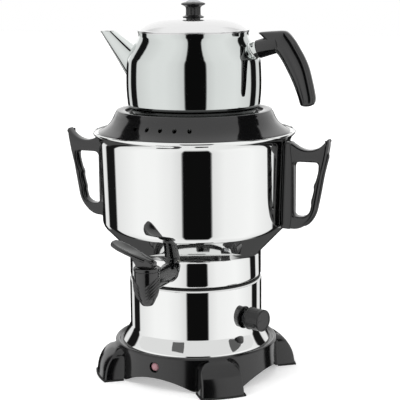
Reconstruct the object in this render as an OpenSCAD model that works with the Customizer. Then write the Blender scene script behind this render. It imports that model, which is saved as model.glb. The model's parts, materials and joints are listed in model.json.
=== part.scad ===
// Electric samovar: a kettle-heated water boiler on a footed base, with a plug-cock tap,
// a vented seat ring on its mouth and a teapot that stands in that ring.
// Millimetres, +Z up. The origin is on the floor, on the axis of the boiler.
// The tap faces -Y, the teapot's grip +X and its spout -X.

/* [Base] */
// Turn of the footed base about the upright axis, from the tap's line
base_turn = -7.5; // [-15:0.5:15]
// Reach of the base's ring beyond the drum
ring_out = 18; // [16:0.5:24]
// Height of that ring's rounded top edge
ring_top_z = 40; // [38:0.5:46]
// Reach of the feet beyond the ring
foot_out = 22.5; // [18:0.5:30]
// Width of a foot where it meets the floor
foot_w = 51; // [42:1:56]
// Height of the arch between two feet
arch_h = 14; // [8:0.5:15]
// Wall of the base moulding
base_wall = 2.6; // [2:0.1:3.2]

/* [Drum and boiler] */
// Radius of the lower drum
drum_r = 77; // [72:0.5:84]
// Height of the lower drum, from the deck it stands on
drum_h = 75; // [72:0.5:90]
// Height of the boiler's narrow neck
neck_h = 31; // [30:0.5:44]
// Widening of the boiler above the neck
wall_out = 30.7; // [26:0.1:36]
// Further widening between the foot and the top of the wide wall
wall_flare = 3; // [0.5:0.5:8]
// Height of the wide part, from the neck to the mouth
wall_h = 139; // [128:1:190]
// Sheet thickness of the steel shells
sheet = 1.0; // [0.8:0.1:1.2]

/* [Side handles] */
// Reach of a handle beyond the boiler's wall
handle_out = 51; // [47:0.5:60]
// Thickness of a handle, across the hand
handle_t = 16; // [12:0.5:20]
// Height of the finger gap
grip_gap_h = 62; // [54:1:70]

/* [Tap] */
// Distance of the barrel's axis from the neck's wall
tap_out = 58.7; // [54:0.1:68]
// Radius of the barrel
barrel_r = 13.8; // [13:0.1:15.5]
// Radius of the pipe between boiler and barrel
pipe_r = 10; // [9.5:0.1:11]
// Radius of the water way
water_r = 4.2; // [3.5:0.1:4.6]
// Length of the key's thumb piece from the barrel's axis
key_len = 45; // [38:1:54]
// Upward slope of the thumb piece
key_slope = 23; // [15:1:30]

/* [Control knob] */
// Bearing of the knob from the tap, seen from above
knob_bearing = 72; // [50:1:90]
// Height of the knob's axis above the deck
knob_up = 37; // [31:0.5:46]
// Radius of the knob
knob_r = 12.7; // [11.5:0.1:15]

/* [Seat ring] */
// Height of the ring's top edge above the boiler's mouth
seat_h = 24; // [21:0.5:34]
// Width of its top edge
seat_lip = 9.8; // [7:0.2:13]
// Play of the teapot in the recess
seat_play = 1.9; // [0.8:0.1:4]
// Depth of that recess
recess_d = 5; // [3:0.5:8]

/* [Teapot] */
// Widest radius of the pot
pot_r = 76.9; // [70:0.1:80]
// Height of the pot, from its bottom to its mouth
pot_h = 92; // [84:1:112]
// Narrowing from the widest radius to the mouth
pot_neck_in = 14.6; // [13:0.1:20]
// Height of the lid's top above the mouth
lid_h = 16.5; // [11:0.5:24]
// Reach of the spout beyond the pot
spout_out = 32.6; // [27:0.1:42]
// Reach of the pot's grip beyond the pot
pot_grip_out = 67.6; // [62:0.1:80]

/* [Clearances] */
// Radial clearance of a shaft or plug in its bore
run_gap = 0.05; // [0.03:0.01:0.08]
// Gap between a fixed piece and the curved wall it hugs
seat_gap = 0.1; // [0.05:0.05:0.2]

/* [Hidden] */
$fn = 96;

steel = "gainsboro";
black = "dimgray";
rubber = [0.16, 0.16, 0.17];
brass = "goldenrod";
EPS = 0.01;

// Radii and heights worked out from the driving sizes
ring_r = drum_r + ring_out;
foot_reach = ring_r + foot_out;
neck_r = drum_r - 0.7;
wall_foot_r = neck_r + wall_out;
wall_top_r = wall_foot_r + wall_flare;
handle_reach = wall_top_r + handle_out;
tap_reach = neck_r + tap_out;
recess_r = pot_r + seat_play;
seat_top_r = recess_r + seat_lip;
pot_mouth_r = pot_r - pot_neck_in;
spout_reach = pot_r + spout_out;
pot_grip_reach = pot_r + pot_grip_out;
pad_h = 2;                                   // rubber pad under a foot
deck_z = ring_top_z - 5;                     // underside of the base's inner deck
deck_t = 2.5;
deck_top = deck_z + deck_t;                  // the drum stands here
cover_z = arch_h + 1;                        // underside of the bottom cover
cover_t = 2;
drum_top_z = deck_top + drum_h;
vessel_z = drum_top_z + 1.5;                 // underside of the boiler
neck_top_z = vessel_z + neck_h;              // the boiler widens from here
mouth_z = neck_top_z + wall_h;
tap_z = neck_top_z - 12;                     // axis of the tap's pipe
knob_z = deck_top + knob_up;
rim_z = mouth_z + seat_h;                    // top edge of the seat ring
seat_z = rim_z - recess_d;                   // the teapot stands here
pot_mouth_z = seat_z + pot_h;
cone_slope = 1.03;                           // rise of the cone over its run
wall_foot_z = neck_top_z + wall_out * cone_slope;
wall_top_z = mouth_z - 12;

// Points on the arc from a through b to c
function arc3(a, b, c, steps = 10) =
    let (d = 2 * (a[0] * (b[1] - c[1]) + b[0] * (c[1] - a[1]) + c[0] * (a[1] - b[1])),
         qa = a * a, qb = b * b, qc = c * c,
         m = [(qa * (b[1] - c[1]) + qb * (c[1] - a[1]) + qc * (a[1] - b[1])) / d,
              (qa * (c[0] - b[0]) + qb * (a[0] - c[0]) + qc * (b[0] - a[0])) / d],
         r = norm(a - m),
         t0 = atan2(a[1] - m[1], a[0] - m[0]),
         tb = atan2(b[1] - m[1], b[0] - m[0]) - t0,
         tc = atan2(c[1] - m[1], c[0] - m[0]) - t0,
         ub = (tb % 360 + 360) % 360,
         uc = (tc % 360 + 360) % 360,
         span = ub < uc ? uc : uc - 360)
    [for (i = [0 : steps]) m + r * [cos(t0 + span * i / steps), sin(t0 + span * i / steps)]];

// An arc of radius r about m, from bearing t0 to t1
function round_pts(m, r, t0, t1, steps = 6) =
    [for (i = [0 : steps]) let (t = t0 + (t1 - t0) * i / steps) m + r * [cos(t), sin(t)]];

// The same outline moved by t to the left of its direction of travel
function unit(v) = v / norm(v);
function inset(pts, t) =
    [for (i = [0 : len(pts) - 1])
        let (a = pts[max(i - 1, 0)], b = pts[i], c = pts[min(i + 1, len(pts) - 1)],
             d = unit((i == 0 ? [0, 0] : unit(b - a)) + (i == len(pts) - 1 ? [0, 0] : unit(c - b))))
        b + t * [-d[1], d[0]]];

function backwards(pts) = [for (i = [len(pts) - 1 : -1 : 0]) pts[i]];

// A turned sheet: outer outline from bottom to top, with the wall inside it
module spun_sheet(outer, t) {
    rotate_extrude() polygon(concat(outer, backwards(inset(outer, t))));
}

// The solid that an outline encloses when it is turned
module spun_solid(outer) {
    n = len(outer) - 1;
    rotate_extrude() polygon(concat([[0, outer[0][1]]], outer, [[0, outer[n][1]]]));
}

// Children drawn along +X, set out at a bearing from the tap and a height
module radially(bearing, z) {
    rotate([0, 0, bearing - 90]) translate([0, 0, z]) children();
}

// A round bar along +X from x0 to x1
module bar_x(r, x0, x1) {
    translate([x0, 0, 0]) rotate([0, 90, 0]) cylinder(r = r, h = x1 - x0);
}

// A hexagon nut blank along +X, by its half width across flats
module hex_x(half_flats, x0, x1) {
    translate([x0, 0, 0]) rotate([0, 90, 0]) cylinder(r = half_flats / cos(30), h = x1 - x0, $fn = 6);
}

// ---------------------------------------------------------------- base

foot_bearings = [45, 135, 225, 315];
cover_screw_bearings = [20, 110, 200, 290];
cover_screw_r = ring_r - 13;
lamp_z = 26.5;
lamp_hole_r = 6.2;
gland_z = 26;
gland_r = 6;
gland_flats = 7;
cord_bore_r = 3.6;
inner_r = ring_r + 1.5 - base_wall;          // inside of the skirt
lead_r = 40;                                 // where the lamp's lead goes up

// Outline of a foot's outer face, from the floor up to the ring
function foot_face(reach) = concat(
    [[reach, pad_h]],
    arc3([reach - 1.2, 10], [reach - 8, 26], [ring_r - 1, ring_top_z - 1.5], 7));

module foot_block(reach, width, top_drop) {
    intersection() {
        rotate_extrude() polygon(concat(foot_face(reach),
            [[ring_r - 15, ring_top_z - 1.5], [ring_r - 15, pad_h]]));
        rotate([90, 0, 90]) linear_extrude(height = reach + 10)
            polygon([[-width / 2, pad_h - EPS], [width / 2, pad_h - EPS],
                [width / 2 - 3.5, ring_top_z - 8], [width / 2 - 7, ring_top_z - top_drop],
                [-width / 2 + 7, ring_top_z - top_drop], [-width / 2 + 3.5, ring_top_z - 8]]);
    }
}

module base_shell() {
    color(black) rotate([0, 0, base_turn]) difference() {
        union() {
            // skirt and rounded rim
            rotate_extrude() polygon(concat(
                [[inner_r, pad_h], [ring_r + 1.5, pad_h]],
                round_pts([ring_r - 2, ring_top_z - 2], 2, 0, 90),
                round_pts([ring_r - 4, ring_top_z - 1.5], 1.5, 90, 180, 4),
                [[ring_r - 5.5, deck_top], [ring_r - base_wall - 0.5, deck_z]]));
            // inner deck that the drum stands on
            translate([0, 0, deck_z]) difference() {
                cylinder(r = ring_r - 2, h = deck_t);
                translate([0, 0, -1]) cylinder(r = 3.4, h = deck_t + 2);
            }
            for (b = foot_bearings) rotate([0, 0, b - 90]) foot_block(foot_reach, foot_w, 4);
            // bosses for the cover's screws
            for (b = cover_screw_bearings) rotate([0, 0, b - 90])
                translate([cover_screw_r, 0, cover_z + cover_t])
                    cylinder(r = 4.2, h = deck_z - cover_z - cover_t + EPS, $fn = 32);
        }
        // arches between the feet
        arch_half = 48;
        arch_r = (arch_half * arch_half + arch_h * arch_h) / (2 * arch_h);
        for (b = [0, 90, 180, 270]) rotate([0, 0, b - 90]) translate([0, 0, arch_h - arch_r])
            bar_x(arch_r, ring_r - 15, foot_reach + 20);
        // room under the deck
        translate([0, 0, -1]) cylinder(r = inner_r - EPS, h = cover_z + cover_t + 1.3);
        // hollow feet
        for (b = foot_bearings) rotate([0, 0, b - 90]) translate([0, 0, -1])
            foot_block(foot_reach - 3.2, foot_w - 7, 8);
        for (b = cover_screw_bearings) rotate([0, 0, b - 90])
            translate([cover_screw_r, 0, cover_z + cover_t - 1])
                cylinder(r = 1.5, h = 13, $fn = 24);
        // lamp hole in front, gland hole behind, the lead's hole in the deck
        radially(0, lamp_z) bar_x(lamp_hole_r, ring_r - 10, ring_r + 12, $fn = 48);
        radially(180, gland_z) bar_x(gland_r + 0.1, ring_r - 10, ring_r + 12, $fn = 48);
        translate([0, -lead_r, deck_z - 1]) cylinder(r = 3.5, h = deck_t + 2, $fn = 32);
    }
}

module foot_pads() {
    color(rubber) rotate([0, 0, base_turn]) for (b = foot_bearings) rotate([0, 0, b - 90]) {
        intersection() {
            rotate_extrude() polygon([[ring_r + 2, 0], [foot_reach + 1.4, 0],
                [foot_reach + 1.4, 1.2], [foot_reach + 0.6, pad_h], [ring_r + 2, pad_h]]);
            translate([0, -foot_w / 2 - 0.6, 0]) cube([foot_reach + 20, foot_w + 1.2, pad_h]);
        }
        translate([ring_r + 6, -foot_w / 2 + 6, pad_h - EPS]) cube([foot_out - 13.5, foot_w - 12, 3]);
    }
}

module bottom_cover() {
    color(black) rotate([0, 0, base_turn]) translate([0, 0, cover_z]) difference() {
        cylinder(r = inner_r - 0.3, h = cover_t);
        for (b = cover_screw_bearings) rotate([0, 0, b - 90]) translate([cover_screw_r, 0, -1])
            cylinder(r = 1.8, h = cover_t + 2, $fn = 24);
        // slots that let the housing breathe
        for (i = [-3 : 3]) translate([-22, i * 9 - 1.5, -1]) cube([44, 3, cover_t + 2]);
    }
}

module bottom_screws() {
    color(steel) rotate([0, 0, base_turn]) for (b = cover_screw_bearings) rotate([0, 0, b - 90])
        translate([cover_screw_r, 0, 0]) {
            translate([0, 0, cover_z - 2.2]) cylinder(r = 3.3, h = 2.2, $fn = 32);
            translate([0, 0, cover_z - EPS]) cylinder(r = 1.5 - run_gap, h = 12, $fn = 24);
        }
}

module cord_gland() {
    color(black) rotate([0, 0, base_turn]) radially(180, gland_z) difference() {
        union() {
            bar_x(gland_r, inner_r - 9, ring_r + 3);
            bar_x(gland_r + 2, ring_r + 1.6, ring_r + 4);
            hex_x(gland_flats, inner_r - 7, inner_r - 2.6);
        }
        bar_x(cord_bore_r, inner_r - 10, ring_r + 5);
    }
}

// ---------------------------------------------------------------- indicator lamp

lamp_r = ring_r + 1.3 - base_wall;           // the lens's rim lies here

module lamp_holder() {
    color(rubber) rotate([0, 0, base_turn]) radially(0, lamp_z) difference() {
        union() {
            bar_x(lamp_hole_r - 0.1, lamp_r - 18, lamp_r + 0.2, $fn = 48);
            bar_x(lamp_hole_r + 1.4, lamp_r - 4.4, lamp_r - 1.9, $fn = 48);
        }
        bar_x(4.7, lamp_r - 16, lamp_r + 1, $fn = 48);
        bar_x(2.6, lamp_r - 19, lamp_r - 15, $fn = 32);
    }
}

module lamp_lens() {
    color([0.75, 0.12, 0.16]) rotate([0, 0, base_turn]) radially(0, lamp_z)
        rotate([0, 90, 0]) rotate_extrude($fn = 48) polygon(concat(
            [[3.6, lamp_r - 8], [4.6, lamp_r - 8], [4.6, lamp_r + 0.4]],
            round_pts([0, lamp_r - 6.44], 8.25, 56, 90, 5),
            [[0, lamp_r + 0.8], [3.6, lamp_r - 0.6]]));
}

module neon_bulb() {
    color("orange") rotate([0, 0, base_turn]) radially(0, lamp_z) {
        bar_x(2.5, lamp_r - 22, lamp_r - 4, $fn = 32);
        translate([lamp_r - 4, 0, 0]) sphere(r = 2.5, $fn = 32);
    }
}

// ---------------------------------------------------------------- drum and its electrics

flare_top_z = deck_top + 18;
drum_outline = concat(
    [[drum_r + 10.3, deck_top], [drum_r + 10.3, deck_top + 1], [drum_r + 7.6, deck_top + 5.5]],
    [[drum_r + 6.4, deck_top + 7], [drum_r + 0.6, flare_top_z], [drum_r, flare_top_z + 2]],
    round_pts([drum_r - 2.2, drum_top_z - 2.2], 2.2, 0, 90, 5),
    [[drum_r - 12, drum_top_z]]);

knob_bush_r = 4.9;

module lower_drum() {
    color(steel) difference() {
        spun_sheet(drum_outline, sheet);
        radially(knob_bearing, knob_z) bar_x(knob_bush_r + 0.15, drum_r - 8, drum_r + 6, $fn = 48);
    }
}

module tie_rod() {
    color(steel) {
        translate([0, 0, deck_z - 8]) cylinder(r = 3, h = vessel_z - deck_z + 8 - EPS, $fn = 32);
        translate([0, 0, vessel_z - 2.5]) cylinder(r = 9, h = 2.5 - EPS, $fn = 48);
    }
}

module tie_nut() {
    color(steel) difference() {
        union() {
            translate([0, 0, deck_z - 6.5]) cylinder(r = 5 / cos(30), h = 5, $fn = 6);
            translate([0, 0, deck_z - 1.5]) cylinder(r = 9, h = 1.5, $fn = 48);
        }
        translate([0, 0, deck_z - 7]) cylinder(r = 3 + run_gap, h = 8, $fn = 32);
    }
}

block_at = [-8, 42];

module terminal_block() {
    color("white") translate([block_at[0], block_at[1], deck_top]) difference() {
        translate([-22, -9, 0]) cube([44, 18, 15]);
        for (x = [-14.5, 0, 14.5]) translate([x, 0, 4]) cylinder(r = 2.6, h = 12, $fn = 24);
        for (x = [-14.5, 0, 14.5]) translate([x, -10, 5.5]) rotate([-90, 0, 0])
            cylinder(r = 2, h = 20, $fn = 24);
    }
}

// A wire that rises from one spot in plan, turns and runs level to another
module wire_to(from, to, z0, z1) {
    r = 1.2;
    bend = 6;
    way = to - from;
    translate([from[0], from[1], 0]) rotate([0, 0, atan2(way[1], way[0])]) {
        translate([0, 0, z0]) cylinder(r = r, h = z1 - bend - z0, $fn = 16);
        translate([bend, 0, z1 - bend]) rotate([90, 0, 0]) rotate([0, 0, 90])
            rotate_extrude(angle = 90, $fn = 48) translate([bend, 0]) circle(r = r, $fn = 16);
        translate([bend, 0, z1]) rotate([0, 90, 0]) cylinder(r = r, h = norm(way) - bend, $fn = 16);
    }
}

heater_leg_r = drum_r - 31;
heater_leg_bearings = [168, 192];
heater_tab_z = vessel_z - 20;
wire_z = deck_top + 15.3;
thermostat_front = drum_r - sheet - 0.5;
tab_r = thermostat_front - 31;
tab_side = 8;
cutout_at = [-20, -16];
cutout_tab_z = vessel_z - 16;

// Spot in plan at a bearing from the tap, a distance out and a step to the side
function spot(bearing, out, side) =
    let (t = bearing - 90) [out * cos(t) - side * sin(t), out * sin(t) + side * cos(t)];

module wiring() {
    color("firebrick") {
        // from the terminal block to push-on sleeves on the thermostat's two tabs
        for (i = [0, 1]) {
            side = tab_side - 2 * tab_side * i;
            wire_to([block_at[0] + 14.5 - 14.5 * i, block_at[1] - 6], spot(knob_bearing, tab_r - 1.5, side),
                wire_z, knob_z + 1.4);
            radially(knob_bearing, knob_z + 0.42) translate([tab_r - 3, side - 3.6, 0]) cube([10, 7.2, 1.6]);
        }
        // up to the boil-dry cut-out
        wire_to([block_at[0] - 14.5, block_at[1] - 6], cutout_at - [5.6, 0], wire_z, cutout_tab_z - 1);
        translate([cutout_at[0] - 6.2, cutout_at[1] - 3, cutout_tab_z - 2.4]) cube([1.3, 6, 8]);
        // straight up to the element's two ends
        for (b = heater_leg_bearings) rotate([0, 0, b - 90]) translate([heater_leg_r + 1.7, 0, wire_z])
            cylinder(r = 1.2, h = heater_tab_z + 6 - wire_z, $fn = 16);
        // the indicator lamp's lead, through the deck
        lead = spot(base_turn, lead_r, 0);
        wire_to(lead, [block_at[0] - 12, block_at[1] - 9.1], lamp_z - 0.9, deck_top + 7.5);
        rotate([0, 0, base_turn]) radially(0, lamp_z) bar_x(0.9, lead_r, lamp_r - 22.1, $fn = 16);
    }
}

module thermostat() {
    color("silver") radially(knob_bearing, knob_z) difference() {
        union() {
            bar_x(15, thermostat_front - 24, thermostat_front - 4);
            bar_x(8, thermostat_front - 4 - EPS, thermostat_front);
            bar_x(knob_bush_r, thermostat_front - EPS, drum_r + 3.4, $fn = 48);
            for (y = [-tab_side, tab_side]) translate([tab_r, y - 3.2, -0.4]) cube([8, 6.4, 0.8]);
        }
        bar_x(3 + run_gap, thermostat_front - 15, drum_r + 4, $fn = 48);
    }
}

module thermostat_nut() {
    color(brass) radially(knob_bearing, knob_z) difference() {
        hex_x(7, drum_r + 0.3, drum_r + 2.4);
        bar_x(knob_bush_r + run_gap, drum_r - 1, drum_r + 3, $fn = 48);
    }
}

shaft_tip = drum_r + 16;

module thermostat_shaft() {
    color("silver") radially(knob_bearing, knob_z) difference() {
        bar_x(3, thermostat_front - 13, shaft_tip, $fn = 48);
        translate([drum_r + 7, -4, 1.6]) cube([12, 8, 4]);
    }
}

knob_back = drum_r + 4;
knob_face = drum_r + 23.5;

module control_knob() {
    ribs = 24;
    color(black) radially(knob_bearing, knob_z) difference() {
        rotate([0, 90, 0]) rotate_extrude() polygon(concat(
            [[0, knob_back + 3], [9.5, knob_back + 3], [9.5, knob_back], [knob_r, knob_back],
             [knob_r, knob_back + 2], [knob_r - 0.6, knob_back + 2.6]],
            round_pts([knob_r - 2.1, knob_face - 1.5], 1.5, 0, 90, 4),
            [[0, knob_face]]));
        // grooves round the knob's edge
        for (i = [0 : ribs - 1]) rotate([i * 360 / ribs, 0, 0]) translate([knob_back + 4, 0, knob_r])
            bar_x(0.75, 0, knob_face - knob_back - 3, $fn = 16);
        // pointer groove in the face
        translate([knob_face - 0.7, -0.9, 2.5]) cube([2, 1.8, 7]);
        // bore for the shaft, with its flat
        difference() {
            bar_x(3 + run_gap, knob_back, shaft_tip + 0.3, $fn = 48);
            translate([knob_back, -4, 1.6 + run_gap]) cube([shaft_tip, 8, 4]);
        }
    }
}

module seam_ring() {
    color(rubber) translate([0, 0, drum_top_z]) difference() {
        cylinder(r = drum_r - 1.6, h = vessel_z - drum_top_z);
        translate([0, 0, -1]) cylinder(r = drum_r - 14, h = vessel_z - drum_top_z + 2);
    }
}

// ---------------------------------------------------------------- boiler

neck_round = 11;
function wall_r(z) = wall_foot_r + (wall_top_r - wall_foot_r) * (z - wall_foot_z) / (wall_top_z - wall_foot_z);

vessel_outline = concat(
    [[drum_r - 13, vessel_z]],
    round_pts([neck_r - neck_round, vessel_z + neck_round], neck_round, -84, 0, 7),
    [[neck_r, neck_top_z - 2], [neck_r + 0.8, neck_top_z], [neck_r + 2.6, neck_top_z + 2]],
    arc3([wall_foot_r - 5, wall_foot_z - 5.2], [wall_foot_r - 1.2, wall_foot_z - 0.4],
        [wall_foot_r, wall_foot_z + 4], 5),
    [[wall_top_r, wall_top_z]],
    arc3([wall_top_r + 0.9, wall_top_z + 3], [wall_top_r + 3, wall_top_z + 7],
        [wall_top_r + 6, mouth_z - 0.8], 4),
    [[wall_top_r + 5.7, mouth_z]]);

handle_screw_z = [mouth_z - 88, mouth_z - 34];
screw_r = 2;

module boiler_vessel() {
    color(steel) difference() {
        union() {
            spun_sheet(vessel_outline, sheet);
            translate([0, 0, vessel_z]) cylinder(r = drum_r - 12.9, h = sheet);
        }
        radially(0, tap_z) bar_x(8.7, neck_r - 8, neck_r + 8, $fn = 48);
        for (b = heater_leg_bearings) rotate([0, 0, b - 90]) translate([heater_leg_r, 0, vessel_z - 1])
            cylinder(r = 4.4, h = 4, $fn = 48);
        for (b = [90, 270]) for (z = handle_screw_z) radially(b, z)
            bar_x(screw_r + 0.2, wall_foot_r - 8, wall_top_r + 8, $fn = 24);
    }
}

heater_z = vessel_z + 12;
heater_tube_r = 4;

module heating_element() {
    color("slategray") {
        gap = heater_leg_bearings[1] - heater_leg_bearings[0];
        rotate([0, 0, heater_leg_bearings[1] - 90]) translate([0, 0, heater_z])
            rotate_extrude(angle = 360 - gap) translate([heater_leg_r, 0]) circle(r = heater_tube_r, $fn = 32);
        for (b = heater_leg_bearings) rotate([0, 0, b - 90]) translate([heater_leg_r, 0, 0]) {
            translate([0, 0, heater_z]) sphere(r = heater_tube_r, $fn = 32);
            translate([0, 0, vessel_z - 12])
                cylinder(r = heater_tube_r, h = heater_z - vessel_z + 12, $fn = 32);
            translate([-0.4, -3.15, heater_tab_z]) cube([0.8, 6.3, 8.5]);
        }
    }
}

module heater_gaskets() {
    color(rubber) for (b = heater_leg_bearings) rotate([0, 0, b - 90])
        translate([heater_leg_r, 0, vessel_z + sheet]) difference() {
            cylinder(r = 8, h = 1.5, $fn = 48);
            translate([0, 0, -1]) cylinder(r = heater_tube_r + run_gap, h = 4, $fn = 32);
        }
}

module heater_nuts() {
    color(brass) for (b = heater_leg_bearings) rotate([0, 0, b - 90])
        translate([heater_leg_r, 0, vessel_z - 6]) difference() {
            cylinder(r = 7 / cos(30), h = 6, $fn = 6);
            translate([0, 0, -1]) cylinder(r = heater_tube_r + run_gap, h = 8, $fn = 32);
        }
}

module thermal_cutout() {
    color("silver") translate([cutout_at[0], cutout_at[1], vessel_z - 9]) {
        cylinder(r = 8, h = 9 - EPS, $fn = 48);
        translate([-12, -5, 7]) cube([24, 10, 2 - EPS]);
        for (x = [-4.5, 4.5]) translate([x - 0.4, -3, -7]) cube([0.8, 6, 7.5]);
    }
}

// ---------------------------------------------------------------- side handles

post_t = 11;
handle_top_z = mouth_z - 8;
gap_top_z = handle_top_z - 22.5;
gap_low_z = gap_top_z - grip_gap_h;
handle_low_z = gap_low_z - 14.5;

// Outline of a handle in its own plane: distance from the axis, height
function handle_outline() = concat(
    [[wall_foot_r - 12, handle_low_z + 1], [wall_top_r - 12, handle_top_z + 0.5],
     [wall_top_r + 7, handle_top_z + 0.5]],
    arc3([wall_top_r + 15, handle_top_z - 4.7], [handle_reach - 20, handle_top_z - 9],
        [handle_reach - 4, handle_top_z - 0.5], 6),
    [[handle_reach - 0.8, handle_top_z + 4.4], [handle_reach, handle_top_z + 3.4]],
    arc3([handle_reach + 0.3, handle_top_z - 4], [handle_reach - 3.2, handle_top_z - 21],
        [handle_reach - 7, handle_top_z - 37], 4),
    arc3([handle_reach - 13, handle_low_z + 28], [handle_reach - 15, handle_low_z + 19],
        [handle_reach - 21, handle_low_z + 10], 5),
    [[handle_reach - 32, handle_low_z + 1.5], [handle_reach - 44, handle_low_z]]);

// Outline of the finger gap, with two shallow finger scallops on the outer side
function handle_gap_outline() =
    let (in_r = wall_top_r + post_t, out_r = handle_reach - 11, k = grip_gap_h / 62)
    concat(
        [[in_r, gap_top_z - 2], [in_r + 2, gap_top_z - 0.2]],
        arc3([out_r - 9, gap_top_z - 0.5], [out_r - 2.4, gap_top_z - 3], [out_r, gap_top_z - 8], 5),
        arc3([out_r - 3.6, gap_top_z - 22 * k], [out_r - 5.4, gap_top_z - 27 * k],
            [out_r - 5.8, gap_top_z - 31 * k], 4),
        arc3([out_r - 7.6, gap_top_z - 41 * k], [out_r - 8, gap_top_z - 46 * k],
            [out_r - 9, gap_top_z - 52 * k], 4),
        arc3([out_r - 11, gap_low_z + 4], [out_r - 16, gap_low_z + 0.8], [out_r - 20, gap_low_z], 4),
        [[in_r + 3, gap_low_z + 0.5], [in_r, gap_low_z + 3]]);

module side_handle() {
    color(black) difference() {
        rotate([90, 0, 0]) translate([0, 0, -handle_t / 2]) linear_extrude(height = handle_t)
            difference() {
                polygon(handle_outline());
                polygon(handle_gap_outline());
            }
        // the post hugs the boiler's wall
        spun_solid(inset(vessel_outline, -seat_gap));
        for (z = handle_screw_z) translate([0, 0, z])
            bar_x(screw_r + run_gap, wall_foot_r - 8, wall_r(z) + 8.3, $fn = 24);
    }
}

module right_handle() { side_handle(); }
module left_handle() { mirror([1, 0, 0]) side_handle(); }

module handle_screws() {
    color(steel) for (b = [90, 270]) for (z = handle_screw_z) radially(b, z) {
        bar_x(screw_r, wall_r(z) - 3, wall_r(z) + 8, $fn = 24);
        bar_x(4.2, wall_r(z) - 5, wall_r(z) - 2.6, $fn = 32);
    }
}

module handle_seals() {
    color(rubber) for (b = [90, 270]) for (z = handle_screw_z) radially(b, z) difference() {
        bar_x(5.5, wall_r(z) - 2.55, wall_r(z) - sheet - 0.5, $fn = 32);
        bar_x(screw_r + 0.1, wall_r(z) - 4, wall_r(z), $fn = 24);
    }
}

// ---------------------------------------------------------------- tap

barrel_top = tap_z + 15.5;
barrel_low = tap_z - 22.6;
plug_top_r = barrel_r - 4.4;
plug_low_r = plug_top_r - 1.6;
plug_low = tap_z - 11;
stub_r = 8.4;
stub_end = neck_r - 17;
washer_t = 1.4;
washer_gap = 0.15;                           // between a washer and the curved wall
plug_top = barrel_top + 2.2;

barrel_outline = concat(
    [[water_r + 1.2, barrel_low], [water_r + 2.2, barrel_low + 0.8]],
    arc3([water_r + 3.6, barrel_low + 4], [barrel_r - 2.2, barrel_low + 10.5],
        [barrel_r - 0.2, barrel_low + 17.5], 6),
    [[barrel_r, barrel_low + 24], [barrel_r + 0.3, barrel_top - 1], [barrel_r, barrel_top]]);

module tap_body() {
    color(black) difference() {
        union() {
            translate([0, -tap_reach, 0]) {
                spun_solid(barrel_outline);
                translate([0, 0, barrel_top - EPS]) cylinder(r = barrel_r - 1.4, h = 2.2);
                // slanting strengthening ribs on the barrel's flanks
                intersection() {
                    spun_solid([for (p = barrel_outline) p + [0.6, 0]]);
                    difference() {
                        for (i = [0 : 2]) translate([0, 4, tap_z - 9 - i * 4.6]) rotate([42, 0, 0])
                            translate([-20, -25, -0.8]) cube([40, 50, 1.6]);
                        translate([-4, -40, barrel_low - 10]) cube([8, 38, 60]);
                        translate([-20, -40, tap_z + 3]) cube([40, 80, 30]);
                    }
                }
            }
            // pipe, then the threaded stub that goes through the wall
            radially(0, tap_z) bar_x(pipe_r, neck_r + washer_t, tap_reach - 5, $fn = 64);
            radially(0, tap_z) bar_x(stub_r, stub_end, neck_r + washer_t + 2, $fn = 64);
        }
        // the pipe's end follows the wall, with room for the washer
        difference() {
            translate([0, 0, tap_z - 20]) cylinder(r = neck_r + washer_t, h = 40);
            radially(0, tap_z) bar_x(stub_r, stub_end - 1, neck_r + 10, $fn = 64);
        }
        translate([0, -tap_reach, 0]) {
            translate([0, 0, plug_low]) cylinder(r1 = plug_low_r, r2 = plug_top_r, h = plug_top - plug_low);
            translate([0, 0, plug_top - EPS]) cylinder(r = plug_top_r, h = 1);
            translate([0, 0, barrel_low - 1]) cylinder(r = water_r, h = 20, $fn = 48);
        }
        radially(0, tap_z) bar_x(water_r + 1, stub_end - 1, tap_reach - plug_low_r + 1, $fn = 48);
    }
}

module tap_washers() {
    color(rubber) intersection() {
        radially(0, tap_z) difference() {
            union() {
                bar_x(pipe_r, neck_r - 1, neck_r + 4, $fn = 64);
                bar_x(pipe_r, neck_r - sheet - 3.6, neck_r, $fn = 64);
            }
            bar_x(stub_r + 0.1, stub_end, neck_r + 8, $fn = 64);
        }
        difference() {
            translate([0, 0, tap_z - 20]) cylinder(r = neck_r + washer_t - 0.05, h = 40);
            difference() {
                translate([0, 0, tap_z - 21]) cylinder(r = neck_r + washer_gap, h = 42);
                translate([0, 0, tap_z - 22]) cylinder(r = neck_r - sheet - washer_gap, h = 44);
            }
        }
    }
}

module tap_nut() {
    color(black) radially(0, tap_z) difference() {
        hex_x(10.4, neck_r - sheet - 10, neck_r - sheet - 3.6 - 0.05);
        bar_x(stub_r + run_gap, stub_end - 1, neck_r, $fn = 64);
    }
}

function plug_r(z) = plug_low_r + (plug_top_r - plug_low_r) * (z - plug_low) / (plug_top - plug_low) - run_gap;
ring_groove_z = tap_z + 11;
neck_w = 9;

module tap_plug() {
    color("ivory") translate([0, -tap_reach, 0]) difference() {
        union() {
            translate([0, 0, plug_low + 0.3])
                cylinder(r1 = plug_r(plug_low + 0.3), r2 = plug_r(plug_top), h = plug_top - plug_low - 0.3);
            translate([-neck_w / 2, -neck_w / 2, plug_top - EPS]) cube([neck_w, neck_w, 6]);
        }
        // elbow of the water way: in from the side, out below
        translate([0, 0, plug_low - 1]) cylinder(r = water_r, h = tap_z - plug_low + 1, $fn = 48);
        translate([0, 0, tap_z]) sphere(r = water_r, $fn = 48);
        translate([0, 0, tap_z]) bar_x(water_r, 0, barrel_r, $fn = 48);
        // groove for the sealing ring
        translate([0, 0, ring_groove_z - 1]) difference() {
            cylinder(r = barrel_r, h = 2);
            translate([0, 0, -1]) cylinder(r = plug_r(ring_groove_z) - 1.4, h = 4);
        }
        translate([0, 0, plug_top - 6]) cylinder(r = 1.6, h = 20, $fn = 24);
    }
}

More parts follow.
